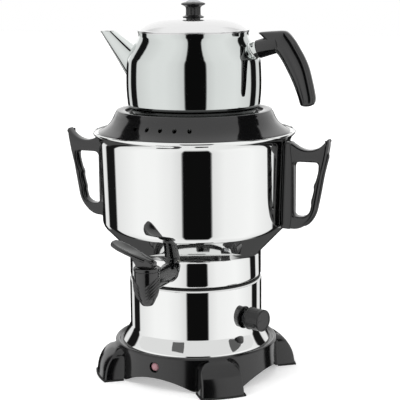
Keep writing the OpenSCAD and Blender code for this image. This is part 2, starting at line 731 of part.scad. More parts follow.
module tap_oring() {
    color(rubber) translate([0, -tap_reach, ring_groove_z]) rotate_extrude()
        translate([plug_r(ring_groove_z) - 0.65, 0]) circle(r = 0.65, $fn = 24);
}

module tap_cap() {
    color(black) translate([0, -tap_reach, barrel_top])
        rotate_extrude() polygon([[barrel_r - 1.3, 0.05], [barrel_r + 0.2, 0.05], [barrel_r + 0.8, 0.7],
            [barrel_r + 0.8, 3], [barrel_r + 0.1, 3.8], [barrel_r - 0.9, 3.8], [barrel_r - 1.6, 3.1],
            [7.4, 3.1], [7.4, 2.3], [barrel_r - 1.3, 2.3]]);
}

// Plan outline of the thumb piece along -X: a waist that swells to a round end
function paddle_outline() = concat(
    arc3([8, -5.5], [10.5, 0], [8, 5.5], 6),
    arc3([-4, 7], [-15, 10.5], [-26, 12], 4),
    arc3([-key_len + 9, 11], [-key_len, 0], [-key_len + 9, -11], 10),
    arc3([-26, -12], [-15, -10.5], [-4, -7], 4));

key_z = plug_top + 6.2;
key_t = 5.2;

module tap_lever() {
    color(black) translate([0, -tap_reach, 0]) difference() {
        union() {
            // hub over the plug's square
            rotate([90, 0, 0]) translate([0, 0, -6.8]) linear_extrude(height = 13.6)
                polygon([[8.6, plug_top + 1.3], [9, key_z + 1], [-14, key_z + 8.6], [-17, key_z + 8],
                    [-9.4, plug_top + 2.8], [-8.6, plug_top + 1.3]]);
            translate([0, 0, key_z]) rotate([0, key_slope, 0]) difference() {
                linear_extrude(height = key_t) polygon(paddle_outline());
                // hollow for the thumb
                translate([-key_len + 19, 0, 33.6]) sphere(r = 31, $fn = 96);
            }
        }
        translate([-neck_w / 2 - 0.05, -neck_w / 2 - 0.05, plug_top - 1])
            cube([neck_w + 0.1, neck_w + 0.1, 7.05]);
        translate([0, 0, plug_top]) cylinder(r = 1.8, h = 30, $fn = 24);
        translate([0, 0, plug_top + 8.6]) cylinder(r = 3.4, h = 30, $fn = 32);
    }
}

module tap_screw() {
    color(steel) translate([0, -tap_reach, 0]) {
        translate([0, 0, plug_top - 5]) cylinder(r = 1.6 - run_gap, h = 14, $fn = 24);
        translate([0, 0, plug_top + 8.6]) cylinder(r = 3.1, h = 2, $fn = 32);
    }
}

// ---------------------------------------------------------------- seat ring

// Outer face of the ring, from its edge in the boiler's mouth to its top
seat_edge_r = wall_top_r - 0.2;
// A point of the face, drawn for a run of 21.2 and a rise of 24 and stretched to the real ones
function on_face(run, rise) =
    [seat_edge_r - run * (seat_edge_r - seat_top_r) / 21.2, mouth_z + rise * seat_h / 24];
seat_face = concat(
    [[seat_edge_r - 0.2, mouth_z - 6.6], [seat_edge_r, mouth_z - 1.5]],
    arc3(on_face(5.5, 1.6), on_face(13.6, 9), on_face(18.6, 19), 7),
    [[seat_top_r + 0.5, rim_z - 1.4]],
    round_pts([seat_top_r - 0.8, rim_z - 0.8], 0.8, 20, 90, 3));
vent_bearings = [-19.6, -9.8, 0, 9.8, 19.6];
seat_hole_r = recess_r - 16.8;               // steam rises to the pot through this hole

module seat_ring() {
    wall = 2.4;
    inner = backwards(inset([for (i = [1 : 8]) seat_face[i]], wall));
    color(black) difference() {
        rotate_extrude() polygon(concat(seat_face,
            [[recess_r + 0.4, rim_z], [recess_r, rim_z - 0.5], [recess_r, seat_z],
             [seat_hole_r, seat_z], [seat_hole_r, seat_z - wall], [recess_r + wall, seat_z - wall],
             [recess_r + wall, rim_z - wall], [seat_top_r - 2, rim_z - wall - 0.6]],
            inner,
            [[seat_edge_r - 2.8, mouth_z - 2], [seat_edge_r - 2.8, mouth_z - 14],
             [seat_edge_r - 1.8, mouth_z - 14]]));
        vent = on_face(14.4, 10.2);
        for (b = vent_bearings) radially(b, vent[1]) translate([vent[0], 0, 0])
            rotate([0, -33, 0]) {
                for (s = [-1, 1]) translate([0, 0, s * 0.9]) bar_x(2.3, -8, 8, $fn = 32);
                translate([-8, -2.3, -0.9]) cube([16, 4.6, 1.8]);
            }
    }
}

// ---------------------------------------------------------------- teapot

function up(h) = seat_z + h;
pot_outline = concat(
    [[pot_r - 12, seat_z]],
    arc3([pot_r - 9.5, up(0.6)], [pot_r - 3.6, up(6)], [pot_r - 1.1, up(15)], 6),
    arc3([pot_r - 0.5, up(21)], [pot_r, up(pot_h * 0.36)], [pot_r - 0.4, up(pot_h * 0.53)], 4),
    arc3([pot_r - 1.2, up(pot_h - 31)], [pot_r - 3, up(pot_h - 25)], [pot_r - 5.9, up(pot_h - 19.5)], 4),
    arc3([pot_r - 9.6, up(pot_h - 12.6)], [pot_mouth_r + 1.6, up(pot_h - 8)],
        [pot_mouth_r + 0.2, up(pot_h - 5.5)], 4),
    [[pot_mouth_r, up(pot_h - 4)], [pot_mouth_r, pot_mouth_z]]);

spout_slope = 45;
spout_tip = [-spout_reach, pot_mouth_z];
spout_l = 56;
spout_low_r = 16.8;
spout_tip_r = 6.4;
function spout_r(along) = spout_tip_r + along * (spout_low_r - spout_tip_r) / spout_l;

// Children drawn along +X, from the spout's mouth back down into the pot
module along_spout() {
    translate([spout_tip[0], 0, spout_tip[1]]) rotate([0, spout_slope, 0]) children();
}

module teapot_body() {
    color(steel) difference() {
        union() {
            spun_sheet(pot_outline, sheet);
            translate([0, 0, seat_z]) cylinder(r = pot_r - 11.9, h = sheet);
        }
        // strainer holes pierced in the wall behind the spout
        for (row = [-2 : 2]) for (i = [-2 : 2])
            if (abs(row) + abs(i) < 4)
                translate([0, i * 4.4, up(pot_h - 30) + row * 4.2]) rotate([0, -90, 0])
                    cylinder(r = 1.25, h = 90, $fn = 24);
    }
}

module teapot_spout() {
    color(steel) difference() {
        along_spout() rotate([0, 90, 0]) translate([0, 0, -8])
            cylinder(r1 = spout_r(-8), r2 = spout_low_r, h = spout_l + 8);
        along_spout() rotate([0, 90, 0]) translate([0, 0, -9])
            cylinder(r1 = spout_r(-9) - sheet, r2 = spout_r(spout_l + 1) - sheet, h = spout_l + 10);
        // level mouth, and the joint with the pot's wall
        translate([spout_tip[0] - 40, -30, pot_mouth_z]) cube([80, 60, 40]);
        spun_solid(inset(pot_outline, -0.03));
    }
}

arm_slope = 17;
arm_at = [pot_r + 0.9, pot_mouth_z - 18];
arm_r = 10.3;
bolt_r = 2.5;

// Children drawn along +X, out from the pot along the grip's arm
module along_arm() {
    translate([arm_at[0], 0, arm_at[1]]) rotate([0, -arm_slope, 0]) children();
}

module grip_bracket() {
    color(steel) difference() {
        union() {
            along_arm() bar_x(arm_r - 1.6, -30, -3, $fn = 64);
            along_arm() bar_x(arm_r - 0.2, -4.5, -0.05, $fn = 64);
            intersection() {
                along_arm() bar_x(14.5, -30, 4, $fn = 64);
                spun_solid(inset(pot_outline, -1.6));
            }
        }
        spun_solid(inset(pot_outline, -0.03));
        along_arm() bar_x(bolt_r + run_gap, -6, 1, $fn = 32);
    }
}

grip_top = pot_mouth_z + 2.4;
grip_low = grip_top - 82.5;
gr = pot_grip_reach;

// Side view of the grip: thumb lip, back of the hand, rounded tip, finger side
function grip_outline() = concat(
    [[pot_r + 3.1, grip_top - 2], [gr - 35.5, grip_top + 0.4], [gr - 32, grip_top - 1.2]],
    arc3([gr - 24, grip_top - 9.6], [gr - 8.4, grip_top - 38], [gr, grip_low + 9], 9),
    arc3([gr - 0.4, grip_low + 3.6], [gr - 6.3, grip_low - 0.2], [gr - 15.5, grip_low + 1.4], 4),
    arc3([gr - 17.8, grip_low + 5], [gr - 26, grip_low + 28], [gr - 43, grip_low + 57.5], 8),
    [[pot_r + 15.1, grip_top - 22], [pot_r + 15.1, grip_top - 8]]);

module teapot_grip() {
    color(black) difference() {
        union() {
            rotate([90, 0, 0]) translate([0, 0, -9.5]) linear_extrude(height = 19) polygon(grip_outline());
            along_arm() bar_x(arm_r, 0.05, 26, $fn = 64);
        }
        along_arm() bar_x(bolt_r + run_gap, -1, 22, $fn = 32);
    }
}

module grip_bolt() {
    color(steel) along_arm() bar_x(bolt_r, -5.5, 21, $fn = 32);
}

// ---------------------------------------------------------------- lid

lid_r = pot_mouth_r + 0.9;
lid_edge = 2.2;
dome_h = lid_h - lid_edge;
lid_outline = concat(
    [[lid_r, pot_mouth_z], [lid_r + 0.2, pot_mouth_z + 0.8], [lid_r, pot_mouth_z + 1.6]],
    [for (i = [1 : 12]) let (s = cos(i * 7.1))
        [(lid_r - 0.4) * s, pot_mouth_z + lid_edge + dome_h * (1 - pow(s, 4))]]);
steam_hole_at = 36;

module lid_shell() {
    n = len(lid_outline) - 1;
    lid_top = lid_outline[n];
    color(steel) difference() {
        union() {
            spun_sheet(lid_outline, sheet);
            translate([0, 0, lid_top[1] - sheet]) cylinder(r = lid_top[0] + 0.05, h = sheet);
            // lip that drops into the pot's mouth
            translate([0, 0, pot_mouth_z - 6]) difference() {
                cylinder(r = pot_mouth_r - sheet - 0.6, h = 8.2);
                translate([0, 0, -1]) cylinder(r = pot_mouth_r - 2 * sheet - 0.6, h = 11);
            }
            translate([0, 0, pot_mouth_z]) difference() {
                cylinder(r = lid_r - 0.2, h = sheet);
                translate([0, 0, -1]) cylinder(r = pot_mouth_r - 2 * sheet - 0.6, h = 4);
            }
        }
        translate([0, 0, lid_top[1] - 5]) cylinder(r = 2.6, h = 8, $fn = 32);
        translate([0, steam_hole_at, lid_top[1] - 8]) cylinder(r = 1.5, h = 12, $fn = 24);
    }
}

knob_z0 = lid_outline[len(lid_outline) - 1][1] + 0.05;

module lid_knob() {
    flutes = 18;
    color(black) difference() {
        translate([0, 0, knob_z0]) rotate_extrude() polygon([[0, 0], [12, 0], [12, 1.1], [9.2, 1.8], [8.4, 3],
            [8.4, 10.5], [9.4, 12], [13.4, 14.2], [13.7, 15.1], [12.8, 16], [9, 17.2], [8.2, 17.2], [8.2, 16.2],
            [0, 16.2]]);
        for (i = [0 : flutes - 1]) rotate([0, 0, i * 360 / flutes]) translate([8.55, 0, knob_z0 + 3])
            cylinder(r = 0.55, h = 7.6, $fn = 16);
        translate([0, 0, knob_z0 - 1]) cylinder(r = 2 + run_gap, h = 12, $fn = 32);
    }
}

module knob_cap() {
    color("silver") translate([0, 0, knob_z0 + 16.25]) rotate_extrude()
        polygon(concat([[0, 0], [8.1, 0]], arc3([8.1, 1.4], [5, 3.2], [0, 3.9], 6)));
}

module lid_screw() {
    color(steel) {
        translate([0, 0, knob_z0 - 4.6]) cylinder(r = 2, h = 14, $fn = 32);
        translate([0, 0, knob_z0 - 6.6]) cylinder(r = 4.2, h = 2.05, $fn = 32);
    }
}

module lid_washer() {
    color(rubber) translate([0, 0, knob_z0 - 4.5]) difference() {
        cylinder(r = 6.5, h = 4.5 - 0.05 - sheet - 0.05, $fn = 48);
        translate([0, 0, -1]) cylinder(r = 2 + run_gap, h = 8, $fn = 32);
    }
}

base_shell();
foot_pads();
bottom_cover();
bottom_screws();
cord_gland();
lamp_holder();
lamp_lens();
neon_bulb();
terminal_block();
wiring();
lower_drum();
tie_rod();
tie_nut();
thermostat();
thermostat_nut();
thermostat_shaft();
control_knob();
seam_ring();
boiler_vessel();
heating_element();
heater_gaskets();
heater_nuts();
thermal_cutout();
left_handle();
right_handle();
handle_screws();
handle_seals();
tap_body();
tap_washers();
tap_nut();
tap_plug();
tap_oring();
tap_cap();
tap_lever();
tap_screw();
seat_ring();
teapot_body();
teapot_spout();
grip_bracket();
teapot_grip();
grip_bolt();
lid_shell();
lid_knob();
knob_cap();
lid_screw();
lid_washer();
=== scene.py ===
"""Looks of an electric samovar: polished steel boiler, drum and teapot, black moulded base,
handles, tap and rings. Sizes are in millimetres and turned to metres where a mesh is made."""
import json
import math

import bmesh
import bpy
from mathutils import Matrix, Vector

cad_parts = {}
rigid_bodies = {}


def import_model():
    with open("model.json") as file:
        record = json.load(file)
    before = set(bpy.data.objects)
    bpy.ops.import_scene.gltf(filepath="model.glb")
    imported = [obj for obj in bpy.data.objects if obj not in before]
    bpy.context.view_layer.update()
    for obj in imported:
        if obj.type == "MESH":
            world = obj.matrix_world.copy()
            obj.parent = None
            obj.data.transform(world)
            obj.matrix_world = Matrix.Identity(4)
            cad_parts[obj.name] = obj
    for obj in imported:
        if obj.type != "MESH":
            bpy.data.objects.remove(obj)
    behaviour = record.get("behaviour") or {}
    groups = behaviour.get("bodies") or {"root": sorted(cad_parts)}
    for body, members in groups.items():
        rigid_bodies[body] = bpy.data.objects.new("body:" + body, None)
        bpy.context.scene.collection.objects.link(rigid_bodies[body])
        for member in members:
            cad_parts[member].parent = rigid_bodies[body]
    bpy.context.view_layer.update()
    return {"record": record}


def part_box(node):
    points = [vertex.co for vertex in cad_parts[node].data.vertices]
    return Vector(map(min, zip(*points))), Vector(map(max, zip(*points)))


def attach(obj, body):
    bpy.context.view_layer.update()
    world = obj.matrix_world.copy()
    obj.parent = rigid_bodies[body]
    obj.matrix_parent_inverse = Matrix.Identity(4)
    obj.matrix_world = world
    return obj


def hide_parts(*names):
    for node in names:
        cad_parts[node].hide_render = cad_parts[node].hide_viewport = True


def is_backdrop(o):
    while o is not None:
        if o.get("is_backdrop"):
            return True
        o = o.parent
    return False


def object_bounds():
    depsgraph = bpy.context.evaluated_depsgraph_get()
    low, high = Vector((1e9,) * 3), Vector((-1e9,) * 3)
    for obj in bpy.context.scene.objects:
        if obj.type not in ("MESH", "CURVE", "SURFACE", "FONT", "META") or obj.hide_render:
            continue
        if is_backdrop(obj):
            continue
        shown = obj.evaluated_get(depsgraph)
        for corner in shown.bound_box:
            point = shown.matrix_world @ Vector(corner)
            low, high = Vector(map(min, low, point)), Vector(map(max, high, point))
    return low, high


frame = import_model()

MM = 0.001


def cad(node):
    """Lowest and highest corner of a CAD node, in millimetres."""
    low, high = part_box(node)
    return low / MM, high / MM


# -------------------- driving places, from the frame

DRUM_LOW, DRUM_HIGH = cad("lower_drum")
VESSEL_LOW, VESSEL_HIGH = cad("boiler_vessel")
POT_LOW, POT_HIGH = cad("teapot_body")
CAP_LOW, CAP_HIGH = cad("tap_cap")
LENS_LOW, LENS_HIGH = cad("lamp_lens")
SEAT_HIGH = cad("seat_ring")[1]
BASE_HIGH = cad("base_shell")[1]
HANDLE_HIGH = cad("right_handle")[1]
KNOB_LOW = cad("lid_knob")[0]

# the four feet stand this much off the diagonals
BASE_TURN = math.radians(-7.5)
DECK_Z = DRUM_LOW.z
DRUM_Z = DRUM_HIGH.z
DRUM_R = 77.0
RING_R = DRUM_R + 18
VESSEL_Z = VESSEL_LOW.z
NECK_R = DRUM_R - 0.7
NECK_Z = VESSEL_Z + 31
MOUTH_Z = VESSEL_HIGH.z
WALL_FOOT_R = NECK_R + 30.7
WALL_TOP_R = WALL_FOOT_R + 3
RIM_Z = SEAT_HIGH.z
SEAT_Z = POT_LOW.z
POT_R = POT_HIGH.y
POT_H = POT_HIGH.z - SEAT_Z
POT_Z = POT_HIGH.z
POT_MOUTH_R = POT_R - 14.6
SHEET = 1.0
TAP_Y = (CAP_LOW.y + CAP_HIGH.y) / 2
TAP_Z = NECK_Z - 12
BARREL_TOP = TAP_Z + 15.5
PLUG_TOP = BARREL_TOP + 2.2
# the control knob sits 72 degrees round from the tap, which points along -Y
CONTROL_AT = math.radians(72 - 90)
CONTROL_Z = DECK_Z + 37

# -------------------- materials

BROAD_MM = 40


def linear(colour):
    """sRGB hex to a linear colour with full alpha."""
    parts = [int(colour[i:i + 2], 16) / 255 for i in (1, 3, 5)]
    return [c / 12.92 if c <= 0.04045 else ((c + 0.055) / 1.055) ** 2.4 for c in parts] + [1.0]


def add(tree, kind, inputs=None, **settings):
    """Adds a node, sets its settings and fills or links its inputs."""
    made = tree.nodes.new(kind)
    for name, value in settings.items():
        setattr(made, name, value)
    for name, value in (inputs or {}).items():
        if isinstance(value, bpy.types.NodeSocket):
            tree.links.new(value, made.inputs[name])
        else:
            made.inputs[name].default_value = value
    return made


def surface(name, colour, roughness, grain_mm, grain_depth, spread, wear=0.0, metallic=0.0,
            **sockets):
    """A material: base colour with a little unevenness, roughness that varies, and a fine bump.
    grain_mm is the size of the surface's own grain and grain_depth its height in millimetres;
    spread and wear are the shares by which colour and roughness vary over BROAD_MM."""
    made = bpy.data.materials.new(name)
    made.use_nodes = True
    tree = made.node_tree
    shader = tree.nodes["Principled BSDF"]
    here = add(tree, "ShaderNodeTexCoord").outputs["Object"]
    broad = add(tree, "ShaderNodeTexNoise", {"Vector": here, "Scale": 1 / (BROAD_MM * MM),
                                             "Detail": 3.0, "Roughness": 0.55}).outputs["Fac"]
    fine = add(tree, "ShaderNodeTexNoise", {"Vector": here, "Scale": 1 / (grain_mm * MM),
                                            "Detail": 2.0}).outputs["Fac"]
    dark = [c * (1 - spread) for c in linear(colour)[:3]] + [1.0]
    light = [min(1.0, c * (1 + spread)) for c in linear(colour)[:3]] + [1.0]
    tint = add(tree, "ShaderNodeMix", {0: broad, 6: dark, 7: light}, data_type="RGBA")
    tree.links.new(tint.outputs[2], shader.inputs["Base Color"])
    rough = add(tree, "ShaderNodeMapRange", {"Value": broad, "From Min": 0.3, "From Max": 0.7,
                                             "To Min": max(0.0, roughness * (1 - wear)),
                                             "To Max": roughness * (1 + wear)})
    tree.links.new(rough.outputs[0], shader.inputs["Roughness"])
    bump = add(tree, "ShaderNodeBump", {"Height": fine, "Distance": grain_depth * MM,
                                        "Strength": 1.0})
    tree.links.new(bump.outputs["Normal"], shader.inputs["Normal"])
    shader.inputs["Metallic"].default_value = metallic
    for socket, value in sockets.items():
        shader.inputs[socket.replace("_", " ")].default_value = value
    return made


# After its name and colour, each has its roughness, the size and height of its grain, its spread.

# Mirror-polished stainless steel, spun and buffed: sharp reflections over a faint waviness.
steel = surface("polished_stainless_steel", "#E9EAE9", 0.035, 9.0, 0.004, 0.012, wear=0.3,
                metallic=1.0)
# The same steel on the teapot, drawn thinner; its colour is a shade greyer and cooler than the
# boiler's, which is painted shade over the whole pot, its spout and its bracket.
shaded_pot_steel = surface("polished_teapot_steel", "#CFD3D1", 0.04, 8.0, 0.004, 0.02, wear=0.3,
                    metallic=1.0)
# Buffed lid: the same sheet with a softer polish, which looks whiter; its colour is set greyer than
# the boiler's as painted shade, so that the lid reads light grey and not white.
shaded_lid_steel = surface("buffed_lid_steel", "#D6D6D6", 0.13, 5.0, 0.004, 0.01, wear=0.3, metallic=1.0)
# Phenolic moulding, black, from a polished mould: glossy with a trace of orange peel.
phenolic = surface("glossy_black_phenolic", "#0B0B0C", 0.10, 3.0, 0.008, 0.10, wear=0.25, IOR=1.62)
# The base and the vented ring: polypropylene, a little greyer and duller.
polypropylene = surface("black_polypropylene", "#0C0C0D", 0.12, 2.2, 0.006, 0.10, wear=0.25,
                        IOR=1.6)
# The tap: nylon, satin, with a fine moulded grain.
nylon = surface("satin_black_nylon", "#0B0B0C", 0.14, 0.9, 0.002, 0.12, wear=0.2, IOR=1.72)
# Knobs: phenolic with a matter, finely sparked face.
knob_black = surface("sparked_black_phenolic", "#151516", 0.25, 0.6, 0.015, 0.12, wear=0.2,
                     IOR=1.55)
rubber = surface("black_rubber", "#1B1B1B", 0.75, 0.5, 0.02, 0.15)
cap_metal = surface("satin_aluminium", "#B9BABB", 0.32, 0.5, 0.004, 0.03, metallic=1.0)
plain_steel = surface("zinc_plated_steel", "#B4B6B8", 0.34, 0.7, 0.006, 0.06, metallic=1.0)
sheathed = surface("oxidised_element_tube", "#6D6A66", 0.45, 0.7, 0.01, 0.18, metallic=1.0)
brass = surface("turned_brass", "#C9A24C", 0.3, 0.4, 0.004, 0.05, metallic=1.0)
ceramic = surface("white_ceramic", "#E4E2DB", 0.45, 0.8, 0.01, 0.03)
wire = surface("red_silicone_sleeve", "#A02620", 0.5, 0.7, 0.02, 0.08)
silicone = surface("translucent_silicone", "#C9C6BC", 0.5, 0.8, 0.01, 0.04)
acetal = surface("black_acetal", "#141415", 0.35, 0.8, 0.006, 0.03)
# Lens: red polycarbonate with its lamp off, so it looks pinkish and dull.
lens_red = surface("red_polycarbonate", "#B5848C", 0.28, 1.2, 0.03, 0.14, IOR=1.58)
neon_glass = surface("neon_glass", "#D98A52", 0.1, 1.0, 0.0, 0.05, IOR=1.5)

# -------------------- outlines


def arc(a, b, c, steps):
    """Points on the arc from a through b to c, both ends included."""
    ax, ay, bx, by, cx, cy = *a, *b, *c
    d = 2 * (ax * (by - cy) + bx * (cy - ay) + cx * (ay - by))
    aa, bb, cc = ax * ax + ay * ay, bx * bx + by * by, cx * cx + cy * cy
    mx = (aa * (by - cy) + bb * (cy - ay) + cc * (ay - by)) / d
    my = (aa * (cx - bx) + bb * (ax - cx) + cc * (bx - ax)) / d
    r = math.hypot(ax - mx, ay - my)
    t0 = math.atan2(ay - my, ax - mx)
    to_b = (math.atan2(by - my, bx - mx) - t0) % math.tau
    to_c = (math.atan2(cy - my, cx - mx) - t0) % math.tau
    span = to_c if to_b < to_c else to_c - math.tau
    return [(mx + r * math.cos(t0 + span * i / steps), my + r * math.sin(t0 + span * i / steps))
            for i in range(steps + 1)]


def through(points, steps):
    """A smooth line through all the points, of any dimension."""
    pts = [Vector(p) for p in points]
    pts = [2 * pts[0] - pts[1]] + pts + [2 * pts[-1] - pts[-2]]
    line = []
    for a, b, c, d in zip(pts, pts[1:], pts[2:], pts[3:]):
        for i in range(steps):
            t = i / steps
            line.append(0.5 * (2 * b + (c - a) * t + (2 * a - 5 * b + 4 * c - d) * t ** 2
                               + (3 * b - a - 3 * c + d) * t ** 3))
    return [tuple(p) for p in line] + [tuple(points[-1])]


def eased(points, radius, steps=3, closed=False):
    """The same outline with every corner rounded over the given distance."""
    pts = [Vector(p) for p in points]
    n = len(pts)
    line = []
    for i, p in enumerate(pts):
        if not closed and i in (0, n - 1):
            line.append(p)
            continue
        back, on = pts[i - 1] - p, pts[(i + 1) % n] - p
        reach = min(radius, 0.45 * back.length, 0.45 * on.length)
        a, b = p + back.normalized() * reach, p + on.normalized() * reach
        for k in range(steps + 1):
            t = k / steps
            line.append(a * (1 - t) ** 2 + p * 2 * t * (1 - t) + b * t ** 2)
    return [tuple(p) for p in line]


def walled(outline, thick):
    """A closed outline: the outer one, then back along the inside of a wall."""
    inner = []
    for i, p in enumerate(outline):
        a, b = Vector(outline[max(i - 1, 0)]), Vector(outline[min(i + 1, len(outline) - 1)])
        way = (b - a).normalized()
        inner.append((p[0] - way.y * thick, p[1] + way.x * thick))
    return list(outline) + inner[::-1] + [outline[0]]


def disc(r, z):
    """Outline of a flat disc of sheet steel, its underside at a height."""
    return [(0, z), (r, z), (r, z + SHEET), (0, z + SHEET)]


def shifted(points, x, z):
    """The same points, measured from another corner."""
    return [(x + a, z + b) for a, b in points]


def radius_at(line, z, beyond):
    """Radius of an outline at a height, or the one given for where the outline doesn't reach."""
    for (r0, z0), (r1, z1) in zip(line, line[1:]):
        if z0 <= z <= z1 and z1 > z0:
            return r0 + (r1 - r0) * (z - z0) / (z1 - z0)
    return beyond


def unit(value):
    """The value, held between 0 and 1."""
    return max(0.0, min(1.0, value))


# -------------------- modelling

# points of a mesh that lie nearer than this are one
WELD = 0.01
UPRIGHT = (math.pi / 2, 0, 0)
ON_ITS_SIDE = (0, math.pi / 2, 0)


def alone(*objects):
    """Selects only these objects, the first one active."""
    bpy.ops.object.select_all(action="DESELECT")
    for obj in objects:
        obj.select_set(True)
    bpy.context.view_layer.objects.active = objects[0]


def named(name):
    obj = bpy.context.object
    obj.name = obj.data.name = name
    return obj


def place(obj, spot=(0, 0, 0), turn=(0, 0, 0)):
    """Turns a piece, then moves it, in millimetres and radians, and puts that in its mesh."""
    alone(obj)
    obj.rotation_euler = turn
    obj.location = Vector(spot) * MM
    bpy.ops.object.transform_apply(location=True, rotation=True, scale=True)
    return obj


def smooth(obj, degrees):
    """Shades a piece smooth, with edges sharper than the angle left sharp."""
    alone(obj)
    bpy.ops.object.shade_smooth_by_angle(angle=math.radians(degrees))
    return obj


def cut(obj, cutter):
    """Takes the cutter's solid away from a piece, and the cutter out of the scene."""
    alone(obj)
    made = obj.modifiers.new("boolean", "BOOLEAN")
    made.operation = "DIFFERENCE"
    made.object = cutter
    made.solver = "EXACT"
    bpy.ops.object.modifier_apply(modifier=made.name)
    bpy.data.objects.remove(cutter)


def joined(name, *objects):
    """One piece made of several."""
    alone(*objects)
    bpy.ops.object.join()
    return named(name)


def close_up(weld=True):
    """Ends the editing of a mesh: welds points that coincide and turns all faces outwards."""
    bpy.ops.mesh.select_all(action="SELECT")
    if weld:
        bpy.ops.mesh.remove_doubles(threshold=WELD * MM)
    bpy.ops.mesh.normals_make_consistent(inside=False)
    bpy.ops.object.mode_set(mode="OBJECT")


def from_curve(name, curve):
    """The mesh of a curve with its thickness."""
    obj = bpy.data.objects.new(name, curve)
    bpy.context.scene.collection.objects.link(obj)
    alone(obj)
    bpy.ops.object.convert(target="MESH")
    obj = named(name)
    bpy.ops.object.mode_set(mode="EDIT")
    close_up()
    return obj


def turned(name, outline, steps, angle=35):
    """Extrudes one point along an outline of radius and height, then spins it round Z."""
    bpy.ops.object.select_all(action="DESELECT")
    bpy.ops.mesh.primitive_plane_add(size=MM)
    obj = named(name)
    bpy.ops.object.mode_set(mode="EDIT")
    bpy.ops.mesh.merge(type="CENTER")
    here = Vector((0, 0, 0))
    for i, (r, z) in enumerate(outline):
        step = Vector((r * MM, 0, z * MM)) - here
        if i == 0:
            bpy.ops.transform.translate(value=step)
        else:
            bpy.ops.mesh.extrude_region_move(TRANSFORM_OT_translate={"value": step})
        here += step
    bpy.ops.mesh.select_all(action="SELECT")
    bpy.ops.mesh.spin(steps=steps, angle=math.tau, center=(0, 0, 0), axis=(0, 0, 1))
    close_up()
    return smooth(obj, angle)


def lofted(name, rings, angle):
    """Extrudes a ring of points from one place to the next, and closes both ends."""
    bpy.ops.object.select_all(action="DESELECT")
    bpy.ops.mesh.primitive_circle_add(vertices=len(rings[0]), radius=MM)
    obj = named(name)
    bpy.ops.object.mode_set(mode="EDIT")
    mesh = bmesh.from_edit_mesh(obj.data)
    mesh.verts.ensure_lookup_table()
    for vertex, point in zip(mesh.verts, rings[0]):
        vertex.co = Vector(point) * MM
    bpy.ops.mesh.edge_face_add()
    for last, ring in zip(rings, rings[1:]):
        bpy.ops.mesh.extrude_region_move()
        mesh = bmesh.from_edit_mesh(obj.data)
        for vertex in [v for v in mesh.verts if v.select]:
            index = min(range(len(last)),
                        key=lambda i: (Vector(last[i]) * MM - vertex.co).length)
            vertex.co = Vector(ring[index]) * MM
        bmesh.update_edit_mesh(obj.data)
    close_up(weld=False)
    return smooth(obj, angle)


def plate(name, outlines, half, edge):
    """A flat moulding in the XZ plane from closed outlines, the later ones being holes.
    half is half its thickness along Y, edge the radius of its rounded edges."""
    curve = bpy.data.curves.new(name, "CURVE")
    curve.dimensions = "2D"
    curve.fill_mode = "BOTH"
    curve.extrude = (half - edge) * MM
    curve.bevel_depth = edge * MM
    curve.bevel_resolution = 3
    curve.offset = -edge * MM
    for outline in outlines:
        spline = curve.splines.new("POLY")
        spline.points.add(len(outline) - 1)
        for point, (x, z) in zip(spline.points, outline):
            point.co = (x * MM, z * MM, 0, 1)
        spline.use_cyclic_u = True
    return smooth(place(from_curve(name, curve), turn=UPRIGHT), 30)


def bead(name, points, radius, resolution):
    """A round bar along a line of points, with domed ends."""
    curve = bpy.data.curves.new(name, "CURVE")
    curve.dimensions = "3D"
    curve.bevel_depth = radius * MM
    curve.bevel_resolution = resolution
    curve.use_fill_caps = True
    spline = curve.splines.new("POLY")
    spline.points.add(len(points) - 1)
    last = len(points) - 1
    for i, (point, at) in enumerate(zip(spline.points, points)):
        point.co = (*(Vector(at) * MM), 1)
        point.radius = 0.25 if i in (0, last) else (0.8 if i in (1, last - 1) else 1.0)
    return smooth(from_curve(name, curve), 60)


def ball(name, spot, size, turn=(0, 0, 0)):
    """An ellipsoid, used to hollow or pierce other pieces."""
    bpy.ops.object.select_all(action="DESELECT")
    bpy.ops.mesh.primitive_uv_sphere_add(segments=32, ring_count=16, radius=MM)
    obj = named(name)
    obj.scale = size
    return place(obj, spot, turn)


def block(name, low, high):
    """A box between two corners, used to trim other pieces."""
    bpy.ops.object.select_all(action="DESELECT")
    bpy.ops.mesh.primitive_cube_add(size=MM)
    obj = named(name)
    obj.scale = [b - a for a, b in zip(low, high)]
    return place(obj, [(a + b) / 2 for a, b in zip(low, high)])


def moved(obj, rule):
    """Moves every point of a piece by a rule on its place in millimetres."""
    for vertex in obj.data.vertices:
        vertex.co = Vector(rule(*(vertex.co / MM))) * MM


def pointed_out(obj, height, bearing):
    """Lays a piece that stands on the axis down, so that it points outwards at a height."""
    place(obj, turn=ON_ITS_SIDE)
    place(obj, (0, 0, height), (0, 0, bearing))


def drawn_in(x, y, z, depth):
    """A point of a round piece, nearer to the axis by a depth."""
    r = math.hypot(x, y)
    return (x * (1 - depth / max(r, 1)), y * (1 - depth / max(r, 1)), z)


def oval(across, along, count, power=2.0):
    """A ring of points in a plane: an ellipse, or a rounded box for a higher power."""
    points = []
    for i in range(count):
        c, s = math.cos(math.tau * i / count), math.sin(math.tau * i / count)
        points.append((across * math.copysign(abs(c) ** (2 / power), c),
                       along * math.copysign(abs(s) ** (2 / power), s)))
    return points


def finished(obj, material, body, slot, *nodes):
    """Gives a piece its material and its body, and hides the CAD nodes that it stands for. The slot is
    not used.
    """
    obj.data.materials.clear()
    obj.data.materials.append(material)
    for face in obj.data.polygons:
        face.material_index = 0
    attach(obj, body)
    if nodes:
        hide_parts(*nodes)


# -------------------- drum, boiler, seat ring

